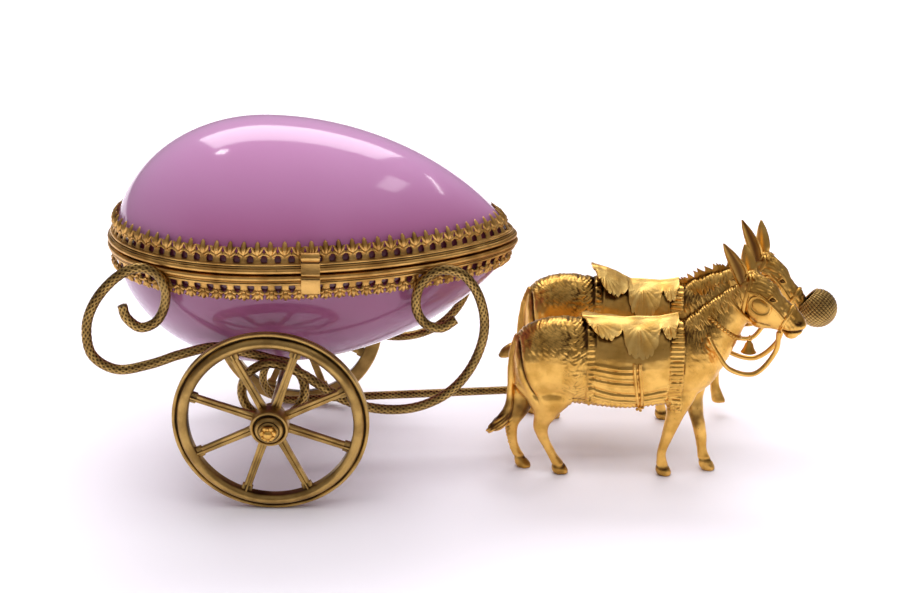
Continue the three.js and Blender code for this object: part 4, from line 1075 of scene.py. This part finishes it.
    # Darker in the carved grooves and lighter on the raised strokes: painted shade and painted light
    dark = 0.2 - lift * 1.5 + 0.1 * lumps(points, 8)
    # Darker along the mane's crest, on the rump and towards the hooves
    dark += 0.4 * onNeck * crest + 0.35 * rump * (0.6 + 0.4 * lumps(points, 6)) + 0.25 * smoothStep(6, 3, z)
    # Darker underneath, between the legs: painted shade
    dark += 0.45 * smoothStep(4.5, 1.5, np.abs(y)) * smoothStep(33, 28, z) * smoothStep(14, 20, z)
    # Painted shade under the saddle: the body is darkened where the saddle covers it
    underSaddle = smoothStep(-16.5, -15, x) * smoothStep(20, 18.5, x) * smoothStep(52.5, 55.5, z)
    dark += 0.7 * underSaddle
    return lift, np.clip(dark, 0, 1)


def turnedBy(points, pivot, axis, angle):    # with an angle of its own for each point
    angle = np.broadcast_to(angle, (len(points), 1))[:, 0]
    away = points - pivot
    first, second = (0, 1) if axis == "Z" else (2, 0)
    result = away.copy()
    result[:, first] = np.cos(angle) * away[:, first] - np.sin(angle) * away[:, second]
    result[:, second] = np.sin(angle) * away[:, first] + np.cos(angle) * away[:, second]
    return result + pivot


# Where the neck carries its points, from 0 at the shoulder to 1 at the poll
def neckMove(pose, points, share):
    points = turnedBy(points, poll, "Z", headTurn * share**3)
    points = points + (points - shoulder) * (1, 0, 1) * (pose["neckStretch"] - 1) * share
    return turnedBy(turnedBy(points, shoulder, "Y", pose["neckDrop"] * share), hip, "Y", pose["dip"])


def poseMap(pose, points, onHead=None):
    up = (points - shoulder) @ np.array([0.47, 0, 0.88]) / 34
    ahead = (points - shoulder) @ np.array([0.88, 0, -0.47])
    share = np.clip((up - 0.14) / 0.84, 0, 1) * smoothStep(18, 30, points[:, 0])
    if onHead is None:
        onHead = np.maximum(smoothStep(0.93, 1.06, up), smoothStep(9.5, 12.5, ahead) * (up > 0.5))
    share = np.maximum(share, onHead)[:, None]

    shift = neckMove(pose, poll[None], 1) - poll + (pose["headShift"][0], 0, pose["headShift"][1])
    head = turnedBy(turnedBy(points, poll, "Y", pose["headPitch"]), poll, "Z", headTurn) + shift
    body = neckMove(pose, points, share)
    weight = onHead[:, None]
    whole = body * (1 - weight) + head * weight
    stays = smoothStep(22, 38, points[:, 2])[:, None]
    return points * (1 - stays) + whole * stays


def earForm(side, pose):
    rows = curveThrough(earRings, 7)
    x, z, aside, half, depth = rows.T
    up = (z - z[0]) / (z[-1] - z[0])
    forward, higher = pose["earTips"][0 if side < 0 else 1]
    spine = np.stack([x + up * (side * earSplay + forward), side * aside, z + up * higher], axis=1)
    turn = np.linspace(-1, 1, 11)
    # The outer skin runs round the back of the ear, the inner one lines the cup that opens forward
    outer = np.stack([np.sin(1.5 * turn), 0.05 - np.cos(1.45 * turn)], axis=1)
    lining = np.stack([0.78 * np.sin(1.5 * turn), 0.22 - 0.55 * np.cos(1.45 * turn)], axis=1)
    ring = np.vstack([outer, lining[::-1]])
    aim = np.array([0.14, side * 0.98, 0.05])
    aim /= np.linalg.norm(aim)
    across = np.cross(aim, (0, 0, 1))
    grid = (spine[:, None] + across * (ring[None, :, 0] * half[:, None] * 1.15)[..., None]
            + aim * (ring[None, :, 1] * depth[:, None] * 1.15)[..., None])
    # The lining of the cup is darker towards its middle: painted shade inside the ear
    inner = 0.95 - 0.6 * np.abs(turn)
    tone = np.broadcast_to(np.concatenate([np.full(11, 0.1), inner]), grid.shape[:2])
    return outward(skin(grid, tone))


def ringLoop(rings, place, grow, count=90):    # a closed line round the neck or head
    dense = betweenRings(rings, 8, grow=grow)
    row = place * 8
    low, part = int(row), row - int(row)
    high = min(low + 1, len(dense) - 1)
    loop = dense[low] * (1 - part) + dense[high] * part
    return evenly(np.vstack([loop, loop[:1]]), count + 1)[:-1]


def band(path, width, depth, closed=True):
    shape = tube(np.vstack([path, path[:1]]) if closed else path, width, 10, flat=depth / width)
    shape["recess"][:] = 0.15
    return shape


def headDress(pose):    # ears, forelock, blinkers and bridle, all carried by the head
    parts = [earForm(side, pose) for side in (-1, 1)]
    for k in range(9):
        angle = math.radians(-100 + 25 * k)
        start = np.array([44.8, 0, 80.2])
        reach = 5.4 + 1.2 * scatter(k, 11)
        way = np.array([math.cos(angle) * 0.75, math.sin(angle), -0.32 + 0.2 * abs(math.sin(angle))])
        spine = [start + way * reach * t + (0, 0, 1.0 * math.sin(2.4 * t)) for t in np.linspace(0, 1, 6)]
        parts.append(petal(spine, [0.7, 1.15, 1.2, 0.95, 0.6, 0.1], 0.9, (0.25, 0, 0.97), 1.2))
    for side in (-1, 1):
        rings = [(0, 0), (3.9, 0), (4.1, 0.35), (3.9, 0.75), (3.5, 0.8), (3.3, 0.55), (2.7, 0.5), (2.5, 0.8),
                 (2.2, 1.0),
                 (1.2, 1.15), (0, 1.2)]
        # Darker in the blinkers' grooves: painted shade
        tones = [0.4, 0.4, 0.1, 0, 0.1, 0.5, 0.5, 0.1, 0, 0, 0]
        disc = lathe(rings, 40, recess=tones)
        disc = moved(disc, lambda p: p * (1.12, 0.9, 1))
        parts.append(moved(disc, lambda p, side=side: turned(turned(p, "X", -side * math.pi / 2), "Y", 0.5)
                           + (50.0, side * 5.0, 70.6)))
        parts.append(moved(ball((0, 0, 0), 1, 12), lambda p, side=side: p * (1.1, 0.6, 0.8) + (54.2,
                                                                                               side * 4.4, 73.4)))
        parts[-1]["recess"][:] = 0.85
        for lid in (-1, 1):
            path = [(52.6, side * 4.9, 73.2), (54.2, side * 4.75, 73.5 + lid * 1.1), (56.0, side * 4.0, 73.0)]
            parts.append(band(evenly(curveThrough(path, 6), 14), 0.36, 0.3, closed=False))
        cheek = [(45.2, side * 5.0, 75.5), (49.5, side * 5.8, 74.6), (54.6, side * 5.2, 71.0),
                 (58.8, side * 4.1, 66.4)]
        parts.append(band(evenly(curveThrough(cheek, 8), 40), 0.75, 0.5, closed=False))
    parts.append(band(ringLoop(headRings, 0.75, 0.3), 0.8, 0.5))
    parts.append(band(ringLoop(headRings, 3.7, 0.15), 0.75, 0.4))
    return joined(parts)


mane = {"from": (18.4, 59.2), "to": (41.8, 76.6), "crestLocks": 30, "sideLocks": 34, "layers": 2}


def neckDress(pose):    # mane, beaded collar and throat strap
    parts = []
    start, end = np.array(mane["from"]), np.array(mane["to"])

    def crestPoint(share):
        x, z = start + (end - start) * share
        return np.array([x, 0, z])

    for k in range(mane["crestLocks"]):
        root = crestPoint(k / (mane["crestLocks"] - 1))
        rise = 2.6 + 2.2 * scatter(k, 4)
        tip = 0.9 * (scatter(k, 6) - 0.5)
        spine = [root + (-1.6 * s * s + 0.5 * math.sin(3 * s), tip * s,
                         rise * s - 0.6) for s in np.linspace(0, 1, 6)]
        parts.append(petal(spine, [0.9, 1.15, 1.05, 0.85, 0.5, 0.1], 0.9, (0, 1, 0), 1.0, -0.15))
    for layer, k, side in product(range(mane["layers"]), range(mane["sideLocks"]), (-1, 1)):
        seed = k + 40 * layer
        share = (k + 0.5 * layer + 0.3 * scatter(seed, 9)) / mane["sideLocks"]
        root = crestPoint(share)
        fall = (6.5 - 2.8 * layer) * (0.65 + 0.6 * scatter(seed, 5))
        girth = 6.4 - 1.7 * share
        spine = []
        for s in np.linspace(0, 1, 7):
            drop = fall * s
            aside = girth * math.sqrt(max(0.0, 1 - (1 - drop / 11)**2)) + 0.25 + 0.35 * layer
            wave = 0.5 * math.sin(5 * s + seed)
            spine.append(root + (0.35 * drop + wave, side * aside, 0.6 - 0.9 * drop))
        parts.append(petal(spine, [0.45, 0.75, 0.85, 0.75, 0.6, 0.4, 0.08], 0.6, (0.1, side * 0.85, 0.5), 1.1,
                           0.05))
    throat = ringLoop(neckRings, 3.25, 0.45)
    parts.append(band(throat, 0.62, 0.55))
    parts.append(band(throat + (1.3, 0, -1.5), 0.62, 0.55))
    collar = ringLoop(neckRings, 1.75, 0.3, 34)
    parts += [ball(p, 0.9, 8) for p in collar]
    return joined(parts)


def donkey(word):
    pose = poses[word]
    body, normals = remeshed(bodyForms(pose), donkeyVoxel, 10)
    lift, dark = carveDonkey(body["points"])
    raised = body["points"] + normals * lift[:, None]
    raised[:, 2] = np.maximum(raised[:, 2], 0.0 if word == "near" else raised[:, 2].min())
    body["points"] = poseMap(pose, raised)
    body["recess"] = dark
    head = headDress(pose)
    head["points"] = poseMap(pose, head["points"], np.ones(len(head["points"])))
    neck = neckDress(pose)
    neck["points"] = poseMap(pose, neck["points"])
    return moved(joined([body, head, neck]), teamMove(word))


def teamMove(word):
    return lambda p: turned(p, "Z", donkeyTurns[word]) + (*donkeyPlaces[word], 0)


for word in ("near", "far"):
    shape = donkey(word)
    makePiece(f"{word}_chased_donkey", shape, brightGilt, "root", f"{word}_donkey", 75)
    print(word, "donkey made,", 2 * len(shape["quads"]) + len(shape["tris"]), "triangles")


# Harness: leaf saddles, girths, reins, bells and the muzzle basket

saddle = {"lift": 1.5, "sheet": 0.55, "along": 160, "across": 81, "teeth": 2.1, "bite": 1.15, "vein": 0.34}
# Saddle rows are place, share of the rear's rise, reach to each side along the body
saddleRows = np.array([(-16, 1, 3), (-13.6, 1, 8), (-10, 0.9, 11.6), (-5.6, 0.6, 12), (-2.6, 0.3, 9.5),
                       (-1.4, 0.2, 8),
                       (-0.8, 0.1, 12), (0.6, 0, 15.4), (3.2, 0, 16.6), (6.4, 0, 17), (9.4, 0, 15.6), (11.4,
                                                                                                       0, 12.4),
                       (12.2, 0, 8.5), (12.8, 0, 7), (13.4, 0, 9), (15, 0, 11.6), (17.6, 0, 11), (19.4, 0.1,
                                                                                                  5)])
lobeHearts = (-11, 4.6, 15.6)    # where each lobe's veins spring


def trunkAt(x):
    places, top, low, half = np.array(trunkRings).T
    return ((np.interp(x, places, top) + np.interp(x, places, low)) / 2,
            (np.interp(x, places, top) - np.interp(x, places, low)) / 2, np.interp(x, places, half))


def leafSaddle(word):
    pose = poses[word]
    x = np.linspace(saddleRows[0, 0], saddleRows[-1, 0], saddle["along"])
    rear, reach = (np.interp(x, saddleRows[:, 0], saddleRows[:, k]) for k in (1, 2))
    scallop = np.abs(np.sin(math.pi * (x / saddle["teeth"] + 0.25 * np.sin(0.8 * x))))
    reach = reach - saddle["bite"] * (1 - np.sqrt(scallop))
    middle, rise, half = trunkAt(x)
    share = np.linspace(-1, 1, saddle["across"])
    run = share[None, :] * reach[:, None]
    angle = run / ((rise + half) / 2)[:, None]
    lift = np.zeros_like(run)
    dark = np.full_like(run, 0.05)
    for heart in lobeHearts:
        bearing = np.arctan2(np.abs(run) - 5, x[:, None] - heart)
        inLobe = np.clip(1.3 - np.abs(x[:, None] - heart) / 8, 0, 1) * smoothStep(5, 8, np.abs(run))
        vein = np.abs(np.sin(bearing * 9))
        lift += saddle["vein"] * inLobe * (vein**0.6 - 0.5)
        # Darker in the furrows between the veins: painted shade
        dark += 0.35 * inLobe * (1 - vein**0.5)
        midrib = np.exp(-((x[:, None] - heart) / 0.5)**2) * smoothStep(5, 8, np.abs(run))
        lift += 0.3 * midrib
    lift += 0.5 * np.exp(-(run / 1.0)**2)
    lift += 0.45 * lumps(np.stack([run * 1.0, np.repeat(x[:, None], len(share), 1), 0 * run],
                                  axis=2).reshape(-1, 3),
                         4.5).reshape(run.shape)
    curl = np.abs(share)[None, :]**6
    rearOff = rear[:, None] * (pose["saddleRear"] + np.abs(run) * pose["saddleFlare"] / 12)
    sheets = []
    for extra in (saddle["sheet"], 0.0):
        off = saddle["lift"] + rearOff + extra + lift + 0.35 * curl
        sheets.append(np.stack([np.repeat(x[:, None], len(share), 1), (half[:, None] + off) * np.sin(angle),
                                middle[:, None] + (rise[:, None] + off) * np.cos(angle)], axis=2))
    grid = np.concatenate([sheets[0], sheets[1][:, ::-1]], axis=1)
    # The underside is kept dark: painted shade under the saddle
    tone = np.concatenate([dark, np.full_like(dark, 0.9)], axis=1)
    # The ends are closed by a strip, row against row
    shape = skin(grid, tone, caps=False)
    columns, rows = grid.shape[1], grid.shape[0]
    strips = []
    for start, flip in ((0, True), ((rows - 1) * columns, False)):
        k = np.arange(columns // 2 - 1)
        strip = np.stack([start + k, start + k + 1, start + columns - 2 - k, start + columns - 1 - k], axis=1)
        strips.append(strip[:, ::-1] if flip else strip)
    shape["quads"] = np.vstack([shape["quads"]] + strips)
    shape = outward(shape)
    shape["points"] = turned(shape["points"], "Y", pose["dip"], hip)
    return moved(shape, teamMove(word))


harness = {
    # Angles from the back
    "girthPlace": 4, "girthLean": 1.9, "girthFrom": 1.28, "girthTo": 2.45, "wire": 0.62,
    "reinShare": 0.5, "rein": 0.92, "bellShare": 0.4, "bellHang": (46.0, 0,
                                                                   50), "bellRadius": 2.9, "bellHeight": 6.4,
}


def girthWires(word):
    pose = poses[word]
    place, start, stop = harness["girthPlace"], harness["girthFrom"], harness["girthTo"]
    middle, rise, half = trunkAt(place)
    parts = []
    for offset in (-0.95, 0.95):
        angle = np.linspace(start, stop, 40)
        off = 1.15
        lean = harness["girthLean"] * smoothStep(start, stop, angle)
        path = np.stack([place + lean + offset * (1 - 0.5 * smoothStep(2.0, stop, angle)),
                         -(half + off) * np.sin(angle), middle + (rise + off) * np.cos(angle)], axis=1)
        parts.append(tube(path, harness["wire"], 12))
    end = np.array([place + harness["girthLean"], -(half + 1.6) * math.sin(stop),
                    middle + (rise + 1.6) * math.cos(stop)])
    for k in range(5):
        a = 2 * math.pi * k / 5
        parts.append(ball(end + (1.1 * math.cos(a), -0.3, 1.1 * math.sin(a)), 0.62, 8))
    parts.append(ball(end + (0, -0.7, 0), 0.75, 10))
    whole = joined(parts)
    whole["points"] = turned(whole["points"], "Y", pose["dip"], hip)
    return moved(whole, teamMove(word))


def reinWire(word, side):
    pose = poses[word]
    mouth = poseMap(pose, np.array([[57.5, side * 4.9, 61.4]]), np.ones(1))
    heart = np.array([[33.0, 0, 56]])
    shift = neckMove(pose, heart, harness["reinShare"]) - heart
    if side < 0:
        body = [(54.6, -8.6, 53.3), (47.5, -8.4, 44.2), (38, -9.6, 46.4), (33.4, -9.8, 52.5),
                (30, -8.4, 58.4)]
    else:
        body = [(56.6, 2, 52.4), (49.8, 5.4, 45), (41.6, 8.4, 45.6), (35, 9.6, 51), (30, 8.4, 58.4)]
    path = evenly(curveThrough(np.vstack([mouth, np.array(body) + shift]), 16), 150)
    turn = np.linspace(0, 2 * math.pi, 20, endpoint=False)
    ring = [path[0] + (0, 0.9 * math.cos(a), 0.9 * math.sin(a)) for a in turn]
    thick = harness["rein"] - 0.3 * smoothStep(0.6, 0.95, np.linspace(0, 1, len(path)))
    parts = [tube(path, thick, 14), tube(np.array(ring + ring[:1]), 0.4, 8), ball(path[-1], 0.8, 10)]
    return moved(joined(parts), teamMove(word))


def neckBell(word):
    pose = poses[word]
    r, h = harness["bellRadius"], harness["bellHeight"]
    profile = [(0, h * 0.5), (r * 0.3, h * 0.45), (r * 0.55, h * 0.22), (r * 0.86, 0.05), (r * 0.95, 0),
               (r, 0.15),
               (r * 0.84, h * 0.13), (r * 0.66, h * 0.3), (r * 0.52, h * 0.52), (r * 0.3,
                                                                                 h * 0.66), (r * 0.24,
                                                                                             h * 0.72),
               (r * 0.36, h * 0.76), (r * 0.36, h * 0.82), (r * 0.2, h * 0.86), (0, h * 0.87)]
    # Darker inside the bell and at its waist: painted shade
    tones = [1, 1, 1, 0.7, 0.2, 0, 0.3, 0.2, 0.1, 0.3, 0.8, 0.1, 0.1, 0.6, 0.6]
    ring = np.array([(0, 0.75 * math.cos(a), h * 0.92 + 0.75 * math.sin(a)) for a in np.linspace(0,
                                                                                                 2 * math.pi, 25)])
    whole = joined([lathe(profile, 36, recess=tones), tube(ring, 0.28, 8), ball((0, 0, 0.5), 0.7, 10)])
    hang = neckMove(pose, np.array([harness["bellHang"]]), harness["bellShare"]) - (0, 1.2, 0)
    return moved(whole, lambda p: teamMove(word)(p + hang[0]))


basket = {"radius": 7.8, "wall": 0.9, "mouth": math.radians(42), "rows": 18, "columns": 40, "depth": 0.3}


def muzzleBasket(word):
    pose = poses[word]
    centre = np.array([69.7, 0, 64.5])
    turn = np.linspace(basket["mouth"], math.pi, 92)
    angle = np.linspace(0, 2 * math.pi, 200, endpoint=False)
    u, v = np.meshgrid(turn, angle, indexing="ij")
    knob = np.abs(np.sin(basket["rows"] * u)) * np.abs(np.sin(basket["columns"] / 2 * v))
    outer = basket["radius"] - 0.1 + basket["depth"] * (np.sqrt(knob) - 0.55)
    inner = np.full_like(u, basket["radius"] - basket["wall"])
    sheets = []
    for radius, rows in ((outer, u), (inner[::-1], u[::-1])):
        sheets.append(np.stack([-radius * np.cos(rows), radius * np.sin(rows) * np.cos(v),
                                radius * np.sin(rows) * np.sin(v)], axis=2))
    grid = np.concatenate([sheets[0], sheets[1]])
    # Darker in the gaps between the knobs and on the inside: painted shade
    tone = np.concatenate([np.clip(1.05 - 1.25 * np.sqrt(knob), 0, 1), np.full_like(u, 0.9)])
    shape = outward(skin(grid, tone, along=True))
    aimed = moved(shape, lambda p: turned(p, "Y", 0.55) + centre)
    aimed["points"] = poseMap(pose, aimed["points"], np.ones(len(aimed["points"])))
    return moved(aimed, teamMove(word))


for word in ("near", "far"):
    makePiece(f"{word}_veined_saddle", leafSaddle(word), leafGilt, "root", f"{word}_leaf_saddle",
              40)
    makePiece(f"{word}_girth", girthWires(word), brightGilt, "root", f"{word}_girth_wire")
    for hand, side in (("left", 1), ("right", -1)):
        makePiece(f"{word}_{hand}_rein", reinWire(word, side), brightGilt, "root", f"{word}_rein_{hand}")
    makePiece(f"{word}_bell", neckBell(word), brightGilt, "root", f"{word}_neck_bell")
makePiece("knurled_muzzle_basket", muzzleBasket("far"), antiqueGilt, "root", "muzzle_basket",
          60)


def crossbarRod():
    low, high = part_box("pole_crossbar")
    start, end = low.y / mm, high.y / mm
    y = np.linspace(start, end, 60)
    ends = np.minimum(y - start, end - y)
    radius = rods["crossbar"] * np.minimum(1, np.sqrt(ends / 0.8 + 0.12)) - 0.15 * (np.abs(ends - 2.2) < 0.5)
    height = poleHeight(rods["crossbarPlace"]) + rods["pole"] + egg["touchGap"] + rods["crossbar"]
    path = np.stack([np.full_like(y, rods["crossbarPlace"]), y, np.full_like(y, height)], axis=1)
    return tube(path, radius, 24)


makePiece("crossbar_rod", crossbarRod(), antiqueGilt, "root", "pole_crossbar")
print("harness made")


# Floor, light and camera

stage = {"floor": (0.93, 0.91, 0.96), "reach": 7, "world": 1.0, "glowFrom": 0.15, "glowTo": 1.6, "glow": 0.9}


def makeFloor():
    mesh = bpy.data.meshes.new("floor")
    reach = stage["reach"]
    mesh.from_pydata([(-reach, -reach, 0), (reach, -reach, 0), (reach, reach, 0), (-reach, reach, 0)], [],
                     [(0, 1, 2, 3)])
    finish, nodes, links, shader = newFinish("pale_floor")
    shader.inputs["Base Color"].default_value = (*stage["floor"], 1)
    shader.inputs["Roughness"].default_value = 0.55
    place = nodes.new("ShaderNodeTexCoord")
    split = nodes.new("ShaderNodeSeparateXYZ")
    links.new(place.outputs["Object"], split.inputs["Vector"])
    glow = nodes.new("ShaderNodeMapRange")    # the floor glows more towards the back: painted light that keeps the far floor white
    glow.inputs["From Min"].default_value = stage["glowFrom"]
    glow.inputs["From Max"].default_value = stage["glowTo"]
    glow.inputs["To Max"].default_value = stage["glow"]
    links.new(split.outputs["Y"], glow.inputs["Value"])
    links.new(glow.outputs["Result"], shader.inputs["Emission Strength"])
    shader.inputs["Emission Color"].default_value = (1, 1, 1, 1)
    mesh.materials.append(finish)
    floor = bpy.data.objects.new("floor", mesh)
    bpy.context.scene.collection.objects.link(floor)


def makeWorld():
    world = bpy.data.worlds.new("soft_room")
    world.use_nodes = True
    nodes, links = world.node_tree.nodes, world.node_tree.links
    place = nodes.new("ShaderNodeTexCoord")
    split = nodes.new("ShaderNodeSeparateXYZ")
    links.new(place.outputs["Generated"], split.inputs["Vector"])
    ramp = nodes.new("ShaderNodeValToRGB")
    stops = ramp.color_ramp.elements
    stops[0].position, stops[0].color = 0.50, (0.16, 0.13, 0.12, 1)
    stops[1].position, stops[1].color = 1.0, (0.46, 0.44, 0.48, 1)
    middle = stops.new(0.74)
    middle.color = (0.22, 0.20, 0.21, 1)
    share = nodes.new("ShaderNodeMapRange")
    share.inputs["From Min"].default_value = -1
    links.new(split.outputs["Z"], share.inputs["Value"])
    links.new(share.outputs["Result"], ramp.inputs["Fac"])
    links.new(ramp.outputs["Color"], nodes["Background"].inputs["Color"])
    nodes["Background"].inputs["Strength"].default_value = stage["world"]
    bpy.context.scene.world = world


lamps = {    # place, aim, size, power, colour, seen in mirrors
    "back_panel": ((-0.05, 0.70, 0.95), (0, 0, 0.08), (1.05, 0.50), 5.5, (1, 0.97, 1), True),
    "top_glow": ((0.0, -0.25, 1.15), (0, 0, 0), (1.8, 1.2), 13.0, (1, 0.985, 0.99), False),
    "back_glow": ((0.0, 0.8, 1.0), (0, 0, 0), (1.6, 0.8), 6.0, (1, 0.98, 1), False),
    "left_spot": ((-0.40, 0.25, 0.90), (-0.08, 0, 0.1), (0.08, 0.08), 0.20, (1, 1, 1), True),
    "right_window": ((0.54, 0.0, 0.88), (0, 0, 0.1), (0.30, 0.12), 0.30, (1, 0.98, 1), True),
    "right_slit": ((0.80, 0.50, 0.88), (0, 0, 0.1), (0.40, 0.022), 0.25, (1, 1, 1), True),
}


def makeLamps():
    for name, (place, aim, size, power, colour, mirrored) in lamps.items():
        data = bpy.data.lights.new(name, "AREA")
        data.shape = "RECTANGLE"
        data.size, data.size_y = size
        data.energy = power
        data.color = colour
        lamp = bpy.data.objects.new(name, data)
        lamp.location = place
        lamp.visible_glossy = mirrored
        lamp.rotation_euler = (Vector(place) - Vector(aim)).to_track_quat("Z", "Y").to_euler()
        bpy.context.scene.collection.objects.link(lamp)


view = {"place": (38.7665, -540.5051, 253.8727), "yaw": 0.0506, "pitch": 0.338, "roll": 0.0035,
        "focal": 1500.36,
        "pictureWidth": 900, "sensor": 36}


def makeCamera():
    yaw, pitch, roll = view["yaw"], view["pitch"], view["roll"]
    forward = np.array([math.sin(yaw) * math.cos(pitch), math.cos(yaw) * math.cos(pitch), -math.sin(pitch)])
    level = np.array([math.cos(yaw), -math.sin(yaw), 0])
    upright = np.cross(level, forward)
    right = math.cos(roll) * level + math.sin(roll) * upright
    up = -math.sin(roll) * level + math.cos(roll) * upright
    place = (np.array(view["place"]) + groupShift) * mm
    data = bpy.data.cameras.new("camera")
    data.sensor_width = view["sensor"]
    data.lens = view["focal"] / view["pictureWidth"] * view["sensor"]
    data.clip_start = 0.01
    camera = bpy.data.objects.new("camera", data)
    columns = [(*right, 0), (*up, 0), (*-forward, 0), (*place, 1)]
    camera.matrix_world = Matrix(columns).transposed()
    bpy.context.scene.collection.objects.link(camera)
    bpy.context.scene.camera = camera


makeFloor()
makeWorld()
makeLamps()
makeCamera()
bpy.context.scene.view_settings.view_transform = "Standard"
print("floor, light and camera made")

triangles = sum(len(face.vertices) - 2 for thing in bpy.data.objects if thing.type == "MESH" and not thing.hide_render
                for face in thing.data.polygons)
print(triangles, "triangles in all")
